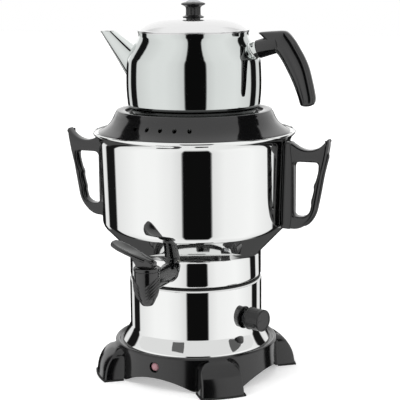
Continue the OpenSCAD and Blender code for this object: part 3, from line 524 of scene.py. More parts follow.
FLARE_Z = DECK_Z + 18
drum_line = (shifted([(10.3, 0), (10.3, 1.2)], DRUM_R, DECK_Z)
             + through(shifted([(9.2, 3.4), (7.5, 6.2), (3.6, 12.4), (0.9, 17)], DRUM_R, DECK_Z), 3)
             + shifted([(0.15, 0.9), (0, 2)], DRUM_R, FLARE_Z) + [(DRUM_R, DRUM_Z - 2.2)]
             + arc(*shifted([(-0.1, -1.6), (-0.7, -0.65), (-2.2, 0)], DRUM_R, DRUM_Z), 5)
             + [(DRUM_R - 12, DRUM_Z)])
drum = turned("drum_shell", walled(drum_line, SHEET), 144, 30)
finished(drum, steel, "samovar", "polished_steel", "lower_drum")

CONE_SLOPE = 1.03
WALL_FOOT_Z = NECK_Z + (WALL_FOOT_R - NECK_R) * CONE_SLOPE
WALL_TOP_Z = MOUTH_Z - 12
neck_line = ([(NECK_R - 12, VESSEL_Z)]
             + arc(*shifted([(-4, 0.1), (-1.2, 1.4), (0, 4.5)], NECK_R, VESSEL_Z), 8)
             + [(NECK_R, NECK_Z - 2.2)]
             + arc(*shifted([(0.2, -1.2), (1.0, 0.5), (2.4, 2.0)], NECK_R, NECK_Z), 5))
wall_line = (arc(*shifted([(-5, -5.2), (-1.4, -0.6), (0, 4)], WALL_FOOT_R, WALL_FOOT_Z), 8)
             + [(WALL_TOP_R, WALL_TOP_Z)]
             + arc(*shifted([(0.9, 2.6), (3.0, 6.4), (5.0, 8.4)], WALL_TOP_R, WALL_TOP_Z), 6)
             # the mouth's edge is rolled outwards into a bead
             + arc(*shifted([(5.7, -2.4), (5.3, -0.3), (4.4, 0)], WALL_TOP_R, MOUTH_Z), 5))
vessel = turned("boiler_shell", walled(neck_line + wall_line, SHEET), 180, 30)
vessel = joined("boiler_shell", vessel, turned("boiler_floor", disc(NECK_R - 11.9, VESSEL_Z), 64))
finished(vessel, steel, "samovar", "polished_steel", "boiler_vessel")

EDGE_R = WALL_TOP_R - 0.2
RECESS_R = POT_R + 1.9
SHELF_R = RECESS_R - 16.8
TOP_R = RECESS_R + 9.8
RING_WALL = 2.4
ring_face = (shifted([(-1.8, -14), (-0.2, -6.6), (0, -1.2)], EDGE_R, MOUTH_Z)
             + through(shifted([(-0.5, -0.4), (-5.5, 2.6), (-10.4, 6.2), (-14.2, 10.4),
                                (-16.9, 15.0), (-18.9, 19.6)], EDGE_R, MOUTH_Z)
                       + [(TOP_R + 0.6, RIM_Z - 1.6)], 3)
             + arc(*shifted([(0.35, -0.9), (-0.1, -0.25), (-0.9, 0)], TOP_R, RIM_Z), 3))
ring_line = (ring_face
             + shifted([(1.0, 0), (0.3, -0.3), (0, -1.0)], RECESS_R, RIM_Z)
             + [(RECESS_R, SEAT_Z + 0.6), (RECESS_R - 0.6, SEAT_Z), (SHELF_R, SEAT_Z),
                (SHELF_R, SEAT_Z - RING_WALL), (RECESS_R + RING_WALL, SEAT_Z - RING_WALL),
                (RECESS_R + RING_WALL, RIM_Z - RING_WALL)]
             + [(r - RING_WALL, z - 1.2) for r, z in ring_face[22:3:-3]]
             + [(EDGE_R - 2.8, MOUTH_Z - 2), (EDGE_R - 2.8, MOUTH_Z - 14), ring_face[0]])
seat_ring = turned("vented_ring", ring_line, 144, 30)
VENT_BEARINGS = (-19.6, -9.8, 0, 9.8, 19.6)
VENT_R = EDGE_R - 14.0
VENT_SIZE = (9, 2.35, 3.1)
VENT_SLOPE = math.radians(-33)
for bearing in VENT_BEARINGS:
    away = math.radians(bearing - 90)
    spot = (VENT_R * math.cos(away), VENT_R * math.sin(away), MOUTH_Z + 10.2)
    cut(seat_ring, ball("vent", spot, VENT_SIZE, (0, VENT_SLOPE, away)))
smooth(seat_ring, 30)
finished(seat_ring, polypropylene, "seat", "black_plastic", "seat_ring")

# -------------------- teapot

pot_line = ([(POT_R - 12, SEAT_Z)]
            + arc(*shifted([(-9.5, 0.6), (-3.6, 6), (-1.1, 15)], POT_R, SEAT_Z), 8)
            + through(shifted([(-0.45, 21), (0, POT_H * 0.36), (-0.3, POT_H * 0.53)], POT_R, SEAT_Z)
                      + shifted([(-1.2, -31), (-3.2, -25), (-6.3, -18.8), (-9.7, -12.8),
                                 (-12.8, -7.4)], POT_R, POT_Z)
                      + [(POT_MOUTH_R + 0.3, POT_Z - 4.4)], 4)
            + [(POT_MOUTH_R, POT_Z - 3), (POT_MOUTH_R, POT_Z)])
pot = turned("teapot_shell", walled(pot_line, SHEET), 160, 30)
pot = joined("teapot_shell", pot, turned("teapot_floor", disc(POT_R - 11.9, SEAT_Z), 64))
finished(pot, shaded_pot_steel, "teapot", "polished_steel", "teapot_body")

SPOUT_TIP = Vector((-(POT_R + 32.6), 0, POT_Z))
SPOUT_LEAN = math.radians(45)
SPOUT_LONG = 56
SPOUT_TIP_R = 6.4
SPOUT_LOW_R = 16.8
SPOUT_SHEET = 0.9
spout_rate = (SPOUT_LOW_R - SPOUT_TIP_R) / SPOUT_LONG
spout_line = ([(SPOUT_TIP_R - 9 * spout_rate, 9), (SPOUT_TIP_R, 0)]
              + through([(SPOUT_TIP_R + 20 * spout_rate, -20), (SPOUT_TIP_R + 36 * spout_rate, -36),
                         (SPOUT_LOW_R - 1.2, -48), (SPOUT_LOW_R + 0.6, -SPOUT_LONG)], 4))
spout = turned("teapot_spout_cone", walled(spout_line[::-1], SPOUT_SHEET), 72, 40)
place(spout, SPOUT_TIP, (0, -SPOUT_LEAN, 0))
# the spout ends level with the pot's mouth and, at its root, on the pot's wall
cut(spout, block("above_the_mouth", (-150, -30, POT_Z), (-60, 30, POT_Z + 40)))
cut(spout, turned("spout_trim", [(0, SEAT_Z)] + pot_line + [(0, POT_Z)], 160))
smooth(spout, 40)
finished(spout, shaded_pot_steel, "teapot", "polished_steel", "teapot_spout")

ARM_AT = Vector((POT_R + 0.9, 0, POT_Z - 18))
ARM_SLOPE = math.radians(17)
ARM_R = 10.3
ARM_LONG = 26
ARM_WAY = Vector((math.cos(ARM_SLOPE), 0, math.sin(ARM_SLOPE)))
ARM_UP = Vector((-math.sin(ARM_SLOPE), 0, math.cos(ARM_SLOPE)))
# rings of the saddle, from the pot's wall outwards: reach from the arm's axis, height over the wall
SADDLE = ((10.3, -0.5), (10.4, 0.4), (10.2, 0.9), (9.8, 1.2), (9.4, 1.5), (9.2, 2.2))
SADDLE_NECK_R = 9.2
SADDLE_COUNT = 64


def about_arm(start, reach, turn):
    """A point at a reach and turn about the arm's axis."""
    return start + ARM_UP * reach * math.sin(turn) + Vector((0, reach * math.cos(turn), 0))


def on_pot(reach, turn, proud):
    """A point that stands proud of the pot's wall, at a reach and turn about the arm's axis."""
    start = about_arm(ARM_AT, reach, turn)
    # the wall lies between these two places on the way, which is halved until it is found
    near, far = -26.0, 8.0
    for _ in range(24):
        middle = (near + far) / 2
        spot = start + ARM_WAY * middle
        if math.hypot(spot.x, spot.y) > radius_at(pot_line, spot.z, POT_MOUTH_R):
            far = middle
        else:
            near = middle
    return start + ARM_WAY * (near + proud)


def bracket_rings():
    """Rings of the bracket: a saddle that hugs the pot, then a neck that the grip slides on to."""
    turns = [math.tau * i / SADDLE_COUNT for i in range(SADDLE_COUNT)]
    rings = [[on_pot(reach, turn, proud) for turn in turns] for reach, proud in SADDLE]
    root = rings[-1]
    ends = [about_arm(ARM_AT + ARM_WAY * -0.15, SADDLE_NECK_R, turn) for turn in turns]
    for along in (0.35, 0.7, 0.9, 1.0):
        rings.append([start.lerp(end, along) for start, end in zip(root, ends)])
    return rings


bracket = lofted("grip_saddle", bracket_rings(), 50)
finished(bracket, shaded_pot_steel, "teapot", "polished_steel", "grip_bracket")

GRIP_TOP = POT_Z + 2.4
GRIP_X = POT_R + 67.6
# stations of the grip, from GRIP_X and GRIP_TOP: back of the hand, finger side, half width
GRIP_STATIONS = [
    ((-65.3, -1.9), (-64.4, -3.6), 3.0), ((-62.5, -1.2), (-60.5, -6.6), 5.6),
    ((-56.0, -0.6), (-54.0, -13.5), 7.6), ((-46.0, 0.1), (-47.5, -22.0), 9.0),
    ((-36.8, 0.4), (-43.5, -25.2), 9.5), ((-31.5, -1.6), (-40.6, -28.8), 9.5),
    ((-24.0, -9.8), (-37.0, -34.2), 9.4), ((-17.8, -19.5), (-32.2, -43.0), 9.3),
    ((-12.2, -29.2), (-28.4, -50.2), 9.3), ((-7.6, -40.0), (-24.6, -58.2), 9.4),
    ((-4.0, -53.2), (-21.2, -66.4), 9.5), ((-1.2, -66.0), (-18.4, -74.2), 9.4),
    ((-0.1, -74.0), (-17.2, -78.6), 8.8), ((-1.5, -79.0), (-16.0, -81.2), 7.2),
    ((-4.2, -81.2), (-13.6, -82.2), 4.8), ((-7.4, -82.2), (-10.6, -82.5), 2.0),
]
GRIP_STEPS = 4
GRIP_COUNT = 72


def grip_rings():
    """Rings from the stations: a rounded box with two grooves along each flank."""
    backs, hands = [through(shifted([s[side] for s in GRIP_STATIONS], GRIP_X, GRIP_TOP), GRIP_STEPS)
                    for side in (0, 1)]
    halves = [h[0] for h in through([(s[2], 0) for s in GRIP_STATIONS], GRIP_STEPS)]
    rings = []
    for i, (back, hand, half) in enumerate(zip(backs, hands, halves)):
        back, hand = Vector((back[0], 0, back[1])), Vector((hand[0], 0, hand[1]))
        middle, deep = (back + hand) / 2, (back - hand) / 2
        # the grooves begin past the bend and run out before the grip's foot
        fade = min(unit((i - 5 * GRIP_STEPS) / (2 * GRIP_STEPS)),
                   unit((len(backs) - 1 - i) / (4 * GRIP_STEPS)))
        ring = []
        for a, b in oval(1.0, 1.0, GRIP_COUNT, 2.7):
            # one groove runs where the back meets the flank, another along the middle of the flank
            corner = math.exp(-((abs(b) - 0.55) / 0.13) ** 2) if a > 0 else 0.0
            flank = math.exp(-((a + 0.12) / 0.16) ** 2)
            ring.append(middle + deep * a * (1 - 0.11 * corner * fade)
                        + Vector((0, half * b * (1 - (0.08 * corner + 0.10 * flank) * fade), 0)))
        rings.append(ring)
    return rings


grip = lofted("hand_grip", grip_rings(), 50)
arm = turned("grip_arm", eased([(0, 0.05), (ARM_R, 0.05), (ARM_R, ARM_LONG), (0, ARM_LONG)], 0.9), 64)
place(arm, ARM_AT, (0, math.pi / 2 - ARM_SLOPE, 0))
grip = joined("hand_grip", grip, arm)
finished(grip, phenolic, "teapot", "grip_plastic", "teapot_grip")

LID_R = POT_MOUTH_R + 0.9
LID_EDGE = 2.2
DOME_H = 16.5 - LID_EDGE
DOME_STEPS = 16
lid_line = shifted([(-1.2, 0), (-0.05, 1.7), (0.1, 2.0), (0.05, 2.3)], LID_R, POT_Z)
for i in range(1, DOME_STEPS + 1):
    out = math.cos(math.radians(i * 88 / DOME_STEPS))
    lid_line.append(((LID_R - 0.5) * out, POT_Z + LID_EDGE + DOME_H * (1 - out ** 4)))
lid = turned("lid_dome", walled(lid_line, SHEET), 144, 40)
LIP_R = POT_MOUTH_R - SHEET - 0.6
lip = turned("lid_lip", [(LIP_R, POT_Z - 6), (LIP_R, POT_Z + 2), (LIP_R - 1, POT_Z + 2),
                         (LIP_R - 1, POT_Z - 6), (LIP_R, POT_Z - 6)], 96)
ledge = turned("lid_ledge", [(LIP_R - 1, POT_Z), (LID_R - 0.3, POT_Z), (LID_R - 0.3, POT_Z + 1),
                             (LIP_R - 1, POT_Z + 1), (LIP_R - 1, POT_Z)], 96)
lid = joined("lid_dome", lid, lip, ledge)
finished(lid, shaded_lid_steel, "lid", "polished_steel", "lid_shell")

KNOB_Z = KNOB_LOW.z
lid_knob_line = (shifted([(0, 0), (11.4, 0), (12, 0.4), (12, 0.9), (11.2, 1.3)], 0, KNOB_Z)
                 + through(shifted([(9.4, 1.9), (8.6, 3.0), (8.4, 5), (8.4, 9.6), (8.8, 11.4),
                                    (10.6, 13.0), (13.0, 14.1)], 0, KNOB_Z), 4)
                 + arc(*shifted([(13.4, 14.4), (13.7, 15.1), (13.2, 15.8)], 0, KNOB_Z), 4)
                 + shifted([(12.4, 16.2), (9.4, 17.1), (8.6, 17.2), (8.25, 16.9), (8.2, 16.2),
                            (0, 16.2)], 0, KNOB_Z))
FLUTES = 18
FLUTE_DEPTH = 0.42
FLUTE_LOW = KNOB_Z + 2.4
FLUTE_HIGH = KNOB_Z + 11.2
FLUTE_FADE = 1.2
lid_knob = turned("lid_grip", lid_knob_line, FLUTES * 8, 50)


def fluted(x, y, z):
    """Shallow flutes round the knob's stem."""
    stem = unit((z - FLUTE_LOW) / FLUTE_FADE) * unit((FLUTE_HIGH - z) / FLUTE_FADE)
    wave = 0.5 + 0.5 * math.cos(FLUTES * math.atan2(y, x))
    return drawn_in(x, y, z, FLUTE_DEPTH * stem * wave if math.hypot(x, y) > 6 else 0.0)


moved(lid_knob, fluted)
finished(lid_knob, knob_black, "lid", "black_plastic", "lid_knob")
cap_z = KNOB_Z + 16.25
lid_cap = turned("knob_inlay", [(0, cap_z), (7.9, cap_z), (8.1, cap_z + 0.3)]
                 + arc((8.05, cap_z + 1.2), (5, cap_z + 3.1), (0, cap_z + 3.8), 8), 64)
finished(lid_cap, cap_metal, "lid", "aluminium_cap", "knob_cap")

# -------------------- side handles

HANDLE_X = HANDLE_HIGH.x
HANDLE_TOP = MOUTH_Z - 8
GAP_TOP = HANDLE_TOP - 22.5
GAP_LOW = GAP_TOP - 62
HANDLE_FOOT = GAP_LOW - 14.5
POST_X = WALL_TOP_R + 11
HANDLE_HALF = 7.4
HANDLE_EDGE = 3.3
POST_HALF = 8.0
POST_EDGE = 1.2
BACK_RIB_R = 2.2


def wall_at(z):
    """Radius of the boiler's wall at a height."""
    return WALL_FOOT_R + (WALL_TOP_R - WALL_FOOT_R) * (z - WALL_FOOT_Z) / (WALL_TOP_Z - WALL_FOOT_Z)


handle_outer = ([(wall_at(HANDLE_FOOT) + 0.1, HANDLE_FOOT + 1),
                 (wall_at(WALL_TOP_Z) + 0.1, WALL_TOP_Z),
                 (WALL_TOP_R + 2.6, HANDLE_TOP - 0.6), (WALL_TOP_R + 7, HANDLE_TOP - 0.6)]
                + arc((WALL_TOP_R + 13, HANDLE_TOP - 4.2), (HANDLE_X - 21, HANDLE_TOP - 9),
                      (HANDLE_X - 5.5, HANDLE_TOP - 1.3), 9)
                + arc(*shifted([(-1.6, 3.4), (-0.7, 4.1), (0, 3.0)], HANDLE_X, HANDLE_TOP), 3)
                + arc(*shifted([(-0.1, -4), (-3.2, -21), (-7, -37)], HANDLE_X, HANDLE_TOP), 6)
                + arc(*shifted([(-13, 28), (-15.2, 19.5), (-21, 10)], HANDLE_X, HANDLE_FOOT), 6)
                + arc(*shifted([(-25.5, 5.5), (-32, 1.6), (-42, 0)], HANDLE_X, HANDLE_FOOT), 5))
gap_x = HANDLE_X - 11
handle_gap = eased([(POST_X, GAP_TOP), (gap_x, GAP_TOP)]
                   + through(shifted([(-0.6, -10), (-3.0, -19.5), (-5.6, -25.5), (-5.6, -31),
                                      (-7.0, -37.5), (-8.6, -43.5), (-8.5, -48.5)], gap_x, GAP_TOP), 3)
                   + [(gap_x - 10.4, GAP_LOW + 5), (gap_x - 17, GAP_LOW), (POST_X, GAP_LOW)],
                   7.5, 4, closed=True)


def side_handle(name, side):
    """The handle: a rounded loop, a proud post against the boiler and a rib down its back."""
    loop = plate(name, [handle_outer, handle_gap], HANDLE_HALF, HANDLE_EDGE)
    post_line = [(wall_at(HANDLE_FOOT) + 0.1, HANDLE_FOOT + 0.4),
                 (wall_at(WALL_TOP_Z) + 0.1, WALL_TOP_Z), (WALL_TOP_R + 2.4, HANDLE_TOP - 0.4),
                 (POST_X - 2.2, HANDLE_TOP - 1.6), (POST_X - 0.6, GAP_TOP + 3),
                 (POST_X - 0.6, GAP_LOW - 3), (POST_X - 2.4, HANDLE_FOOT)]
    post = plate("post", [eased(post_line, 1.5, 3, closed=True)], POST_HALF, POST_EDGE)
    back = through(shifted([(-1.0, -12), (-3.8, -22), (-7.6, -38), (-10.8, -56)], HANDLE_X, HANDLE_TOP)
                   + shifted([(-14.0, 27), (-17.0, 17.4), (-22.2, 9.6), (-30, 3.4)],
                             HANDLE_X, HANDLE_FOOT), 4)
    rib = bead("rib", [(x, 0, z) for x, z in back], BACK_RIB_R, 4)
    moved(rib, lambda x, y, z: (x, y * 1.35, z))
    handle = joined(name, loop, post, rib)
    # nothing stands past the CAD's handle
    moved(handle, lambda x, y, z: (min(x, HANDLE_X - 0.1), y, z))
    if side < 0:
        moved(handle, lambda x, y, z: (-x, y, z))
        alone(handle)
        bpy.ops.object.mode_set(mode="EDIT")
        bpy.ops.mesh.select_all(action="SELECT")
        bpy.ops.mesh.flip_normals()
        bpy.ops.object.mode_set(mode="OBJECT")
    return handle


finished(side_handle("handle_right", 1), phenolic, "samovar", "black_plastic", "right_handle")
finished(side_handle("handle_left", -1), phenolic, "samovar", "black_plastic", "left_handle")

# -------------------- tap

BARREL_R = 13.8
WATER_R = 4.2
BARREL_FOOT = TAP_Z - 22.6
barrel_line = (shifted([(0, 0), (1.0, 0), (2.0, 0.7)], WATER_R, BARREL_FOOT)
               + through([(WATER_R + 3.7, BARREL_FOOT + 3.4)]
                         + shifted([(-4.2, 7.2), (-2.1, 11.4), (-0.6, 17.6), (0, 25)],
                                   BARREL_R, BARREL_FOOT)
                         + [(BARREL_R + 0.3, BARREL_TOP - 3)], 4)
               + shifted([(0.3, -0.8), (-0.2, -0.1), (-1.4, 0), (-1.4, 2.2)], BARREL_R, BARREL_TOP)
               + [(9.5, BARREL_TOP + 2.2), (9.5, TAP_Z + 8), (WATER_R, TAP_Z + 8),
                  (WATER_R, BARREL_FOOT)])
barrel = turned("tap_barrel", barrel_line, 72, 40)
# five ribs on each side of the barrel rise from its front to its back
RIB_R = 1.7
RIB_Z = TAP_Z - 16.6
RIB_GAP = 3.7
flank = barrel_line[2:-8]
ribs = []
for side in (1, -1):
    for i in range(5):
        line = []
        for k in range(10):
            turn = math.radians(side * (12 + 8.5 * k) - 90)
            z = RIB_Z + RIB_GAP * i + 1.3 * k
            r = radius_at(flank, z, BARREL_R) - 0.15
            line.append((r * math.cos(turn), r * math.sin(turn), z))
        ribs.append(bead("rib", line, RIB_R, 3))
PIPE_R = 10
pipe = turned("tap_pipe", eased([(0, 0), (PIPE_R + 0.9, 0), (PIPE_R + 0.9, 2.2), (PIPE_R, 3.2),
                                 (PIPE_R, 47), (8, 48), (0, 48)], 0.5), 64)
place(pipe, (0, -NECK_R - 0.2, TAP_Z), UPRIGHT)
for piece in [barrel] + ribs:
    place(piece, (0, TAP_Y, 0))
tap = joined("tap_barrel", barrel, pipe, *ribs)
finished(tap, nylon, "samovar", "black_plastic", "tap_body")

cap_line = eased(shifted([(-1.3, 0.05), (0.2, 0.05), (0.8, 0.7), (0.8, 3), (0.1, 3.8), (-0.9, 3.8),
                          (-1.6, 3.1)], BARREL_R, 0) + [(7.4, 3.1), (7.4, 2.3)]
                 + shifted([(-1.3, 2.3), (-1.3, 0.05)], BARREL_R, 0), 0.3)
tap_ring = turned("tap_ring", cap_line, 72, 40)
place(tap_ring, (0, TAP_Y, BARREL_TOP))
finished(tap_ring, nylon, "samovar", "black_plastic", "tap_cap")

KEY_LEN = 45
KEY_SLOPE = math.radians(23)
KEY_Z = PLUG_TOP + 6.2
# half widths of the thumb piece along its length, from the hub outwards
KEY_WIDTHS = [(7.5, 4.0), (5, 5.6), (0, 6.6), (-6, 8.2), (-15, 10.4), (-24, 11.8), (-32, 12.1),
              (-38, 11.0), (-42, 8.6), (-44.2, 5.4), (-KEY_LEN, 2.0)]
DISH_DEPTH = 1.9


def key_rings():
    """Rings along the thumb piece: rounded edges, and a dish for the thumb in its top."""
    rings = []
    for x, half in through(KEY_WIDTHS, 3):
        end = min(1.0, half / 6)
        dish = DISH_DEPTH * math.exp(-((x + 27) / 11.5) ** 2)
        ring = []
        for a, b in oval(1.0, 1.0, 36, 3.4):
            top = 2.6 + 2.6 * b * end
            if b > 0:
                top -= dish * max(0.0, 1 - (abs(a) / 0.78) ** 3)
            ring.append((x, half * a, top))
        rings.append(ring)
    return rings


thumb = lofted("tap_key", key_rings(), 60)
place(thumb, (0, TAP_Y, KEY_Z), (0, KEY_SLOPE, 0))
hub_line = [(8.6, PLUG_TOP + 1.3), (9.2, KEY_Z + 0.6), (2, KEY_Z + 4.2), (-13, KEY_Z + 8.4),
            (-17.5, KEY_Z + 8.2), (-9.8, PLUG_TOP + 3.2), (-8.6, PLUG_TOP + 1.3)]
hub = plate("hub", [eased(hub_line, 1.2, 3, closed=True)], 6.8, 0.9)
place(hub, (0, TAP_Y, 0))
key = joined("tap_key", thumb, hub)
finished(key, nylon, "tap_key", "black_plastic", "tap_lever")

# -------------------- control knob

KNOB_R = 12.7
KNOB_BACK = DRUM_R + 4
KNOB_FACE = DRUM_R + 23.5
KNOB_RIBS = 24
GROOVE_DEPTH = 0.55
KNOB_STEPS = 5
knob_rise = KNOB_FACE - KNOB_BACK - 5.2
control_line = ([(0, KNOB_BACK + 3), (9.5, KNOB_BACK + 3), (9.5, KNOB_BACK)]
                + shifted([(-0.2, 0), (0.2, 0.5), (0.2, 2), (-0.5, 2.6)], KNOB_R, KNOB_BACK)
                + [(KNOB_R - 0.5 + 0.3 * i / KNOB_STEPS, KNOB_BACK + 2.6 + i * knob_rise / KNOB_STEPS)
                   for i in range(1, KNOB_STEPS + 1)]
                + [(KNOB_R - 0.1, KNOB_FACE - 2.2)]
                + arc(*shifted([(-0.1, -1.5), (-0.6, -0.4), (-1.7, 0)], KNOB_R, KNOB_FACE), 4)
                + shifted([(-2.3, 0), (-2.7, -0.5), (-6, -0.65)], KNOB_R, KNOB_FACE)
                + [(0, KNOB_FACE - 0.7)])
control = turned("control_dial", control_line, KNOB_RIBS * 6, 40)


def ribbed(x, y, z):
    """Grip grooves round the knob's edge."""
    along = unit(z - KNOB_BACK - 3) * unit(KNOB_FACE - 3 - z)
    groove = max(0.0, math.cos(KNOB_RIBS * math.atan2(y, x))) ** 3
    at_edge = math.hypot(x, y) > KNOB_R - 1.2
    return drawn_in(x, y, z, GROOVE_DEPTH * along * groove if at_edge else 0.0)


moved(control, ribbed)
pointer_line = [(-0.9, 2.6), (0.9, 2.6), (0.9, 9.6), (-0.9, 9.6)]
pointer = plate("pointer", [eased(pointer_line, 0.8, 3, closed=True)], 0.5, 0.2)
place(pointer, turn=UPRIGHT)
place(pointer, (0, 0, KNOB_FACE - 0.8))
control = joined("control_dial", control, pointer)
pointed_out(control, CONTROL_Z, CONTROL_AT)
finished(control, knob_black, "control", "knob_plastic", "control_knob")

# -------------------- base

SKIRT_R = RING_R + 1.5
RING_TOP = BASE_HIGH.z
FOOT_R = RING_R + 22.5
FOOT_HALF = 25.5
PAD_H = 2
ARCH_H = 14
ARCH_HALF = 48
FOOT_TOP = RING_TOP - 4
FOOT_CORNER = 12
ARCH_R = (ARCH_HALF ** 2 + ARCH_H ** 2) / (2 * ARCH_H)
# how far the skirt leans and dishes in, and a foot narrows, on the way up
SKIRT_LEAN = 1.5
SKIRT_DISH = 0.9
FOOT_TAPER = 2.5
# how far the base's surfaces run into each other, and a foot's side into its face
BLEND = 1.6
SIDE_BLEND = 12.0
# the groove round a foot's panel
PANEL_GROOVE = 1.0
BASE_WALL = 2.6
DECK_HOLE_R = 42
foot_face = ([(FOOT_R, 0), (FOOT_R, PAD_H)]
             + arc((FOOT_R - 1.2, 10), (FOOT_R - 8, 26), (RING_R - 1, RING_TOP - 1.5), 12))


def soft_least(a, b, blend):
    """The lesser of two numbers, blended where they are near each other."""
    h = max(blend - abs(a - b), 0.0) / blend
    return min(a, b) - h * h * blend / 4


def soft_most(a, b, blend):
    """The greater of two numbers, blended in the same way."""
    return -soft_least(-a, -b, blend)


def base_r(turn, z):
    """Radius of the base's skin: the skirt, with a flat-sided foot round each 90 degrees."""
    up = z / RING_TOP
    skirt = SKIRT_R - SKIRT_LEAN * up - SKIRT_DISH * math.sin(math.pi * min(1.0, up))
    off = abs((math.degrees(turn) + 45) % 90 - 45)
    # a foot's face is a panel with near upright sides and rounded upper corners, set off by a groove
    wide = FOOT_HALF - FOOT_TAPER * up - FOOT_CORNER
    over = z - (FOOT_TOP - FOOT_CORNER)
    half = wide + math.sqrt(FOOT_CORNER ** 2 - min(max(0.0, over), FOOT_CORNER) ** 2)
    sine = math.sin(math.radians(off))
    foot = soft_least(radius_at(foot_face, z, RING_R - 2), half / max(sine, 0.02), SIDE_BLEND)
    beside = skirt * sine - wide
    inside = FOOT_CORNER - math.hypot(max(beside, 0.0), max(over, 0.0))
    return soft_most(skirt, foot, BLEND) - PANEL_GROOVE * math.exp(-(inside + 0.4) ** 2)


def base_foot(turn):
    """Height of the lower edge: an arch between two feet, flat under a foot."""
    off = abs(math.degrees(turn) % 90 - 45)
    chord = SKIRT_R * math.sin(math.radians(off))
    rise = ARCH_H - (ARCH_R - math.sqrt(max(ARCH_R ** 2 - chord ** 2, 0.0)))
    return soft_most(PAD_H, rise, BLEND)


def base_columns():
    """Bearings of the skin's columns in one quarter, closest where a foot's side stands out."""
    stops = [0, 11.0, 12.3, 12.9, 13.4, 13.9, 14.4, 14.9, 15.4, 15.9, 16.6, 17.6, 19.5, 45]
    counts = [26, 4, 3, 3, 3, 3, 3, 3, 3, 3, 3, 3, 12]
    half = [a + (b - a) * i / n for a, b, n in zip(stops, stops[1:], counts) for i in range(n)]
    return half + [45] + [90 - a for a in half[:0:-1]]


columns = [math.radians(a + 90 * quarter) for quarter in range(4) for a in base_columns()]
SKIN_ROWS = 44
INNER_ROWS = 8
# over the rim to the deck, then back under the deck
fixed_rows = ([(RING_R - 0.4, RING_TOP - 1.4)]
              + arc(*shifted([(-0.7, -0.8), (-2.2, 0), (-4.2, -0.5)], RING_R, RING_TOP), 6)
              + [(RING_R - 5.2, RING_TOP - 1.8), (RING_R - 5.6, DECK_Z + 0.2),
                 (DRUM_R + 6, DECK_Z - 0.1), (DECK_HOLE_R, DECK_Z - 0.1),
                 (DECK_HOLE_R, DECK_Z - 2.5), (SKIRT_R - 5.4, DECK_Z - 2.6),
                 (SKIRT_R - 3.0, DECK_Z - 4.5)])


def base_ring(row):
    """One closed line of points round the base, from its lower edge over the rim to its inside."""
    points = []
    for turn in columns:
        low, high = base_foot(turn), RING_TOP - 1.9
        if row <= SKIN_ROWS:
            z = low + (high - low) * (row / SKIN_ROWS)
            r = base_r(turn, z)
        elif row <= SKIN_ROWS + len(fixed_rows):
            r, z = fixed_rows[row - SKIN_ROWS - 1]
        else:
            back = row - SKIN_ROWS - len(fixed_rows)
            z = low + (DECK_Z - 8 - low) * (1 - back / INNER_ROWS)
            r = base_r(turn, z) - BASE_WALL
        points.append((r * math.cos(turn), r * math.sin(turn), z))
    return points


base_rows = SKIN_ROWS + len(fixed_rows) + INNER_ROWS + 1


def skin_base():
    """The base: a ring of points extruded over the skin, the rim and the inside."""
    bpy.ops.object.select_all(action="DESELECT")
    bpy.ops.mesh.primitive_circle_add(vertices=len(columns), radius=MM)
    obj = named("footed_base")
    bpy.ops.object.mode_set(mode="EDIT")
    for _ in range(1, base_rows):
        bpy.ops.mesh.extrude_region_move()
    bpy.ops.mesh.select_all(action="DESELECT")
    bpy.ops.object.mode_set(mode="OBJECT")
    points = [point for row in range(base_rows) for point in base_ring(row)]
    for vertex, point in zip(obj.data.vertices, points):
        vertex.co = Vector(point) * MM
    alone(obj)
    bpy.ops.object.mode_set(mode="EDIT")
    bpy.ops.mesh.select_mode(type="EDGE")
    bpy.ops.mesh.select_non_manifold(use_wire=False, use_multi_face=False, use_non_contiguous=False,
                                     use_verts=False)
    bpy.ops.mesh.bridge_edge_loops()
    bpy.ops.mesh.select_mode(type="VERT")
    close_up(weld=False)
    place(obj, turn=(0, 0, BASE_TURN + math.pi / 4))
    return smooth(obj, 35)


base = skin_base()
lens_at = (LENS_LOW + LENS_HIGH) / 2
lens_bearing = math.atan2(lens_at.y, lens_at.x)
LAMP_HOLE_R = 6.2
lamp_hole = turned("lamp_hole", [(0, 78), (LAMP_HOLE_R, 78), (LAMP_HOLE_R, 110), (0, 110)], 40)
pointed_out(lamp_hole, lens_at.z, lens_bearing)
cut(base, lamp_hole)
smooth(base, 35)
finished(base, polypropylene, "samovar", "black_plastic", "base_shell")

# the lamp sits a little way into its hole, so that a dark ring shows round the lens
socket = turned("lamp_socket", [(4.8, 76), (6.1, 76), (6.1, 91.2), (5.6, 91.8), (4.8, 91.8),
                                (4.8, 76)], 48)
lens = turned("lamp_dome", [(0, 86), (4.7, 86), (4.7, 92.3)]
              + arc((4.5, 92.8), (2.6, 93.9), (0, 94.3), 6), 48)
for piece in (socket, lens):
    pointed_out(piece, lens_at.z, lens_bearing)
finished(socket, polypropylene, "samovar", "black_plastic", "lamp_holder")
finished(lens, lens_red, "samovar", "lens", "lamp_lens")

# -------------------- pieces that keep their CAD shape

# the finish of each material slot that the record names
SLOT_FINISH = {
    "black_plastic": polypropylene, "knob_plastic": knob_black, "grip_plastic": phenolic,
    "polished_steel": steel, "steel": plain_steel, "aluminium_cap": cap_metal, "rubber": rubber,
    "lens": lens_red, "neon": neon_glass, "white_plastic": ceramic, "wire": wire, "brass": brass,
    "element_steel": sheathed, "switch_metal": plain_steel, "plug_plastic": acetal,
    "silicone": silicone,
}
for part in frame["record"]["subparts"]:
    for obj in [o for o in bpy.data.objects if o.name == part["node"]]:
        for holder in obj.material_slots:
            holder.material = SLOT_FINISH[part["material_slot"]]
# the nut of the thermostat is plated, unlike the bare brass ones inside
for holder in bpy.data.objects["thermostat_nut"].material_slots:
    holder.material = plain_steel

# -------------------- floor, light, camera

VIEW_AZIMUTH = math.radians(22.5)
VIEW_DOWN = math.radians(10.54)
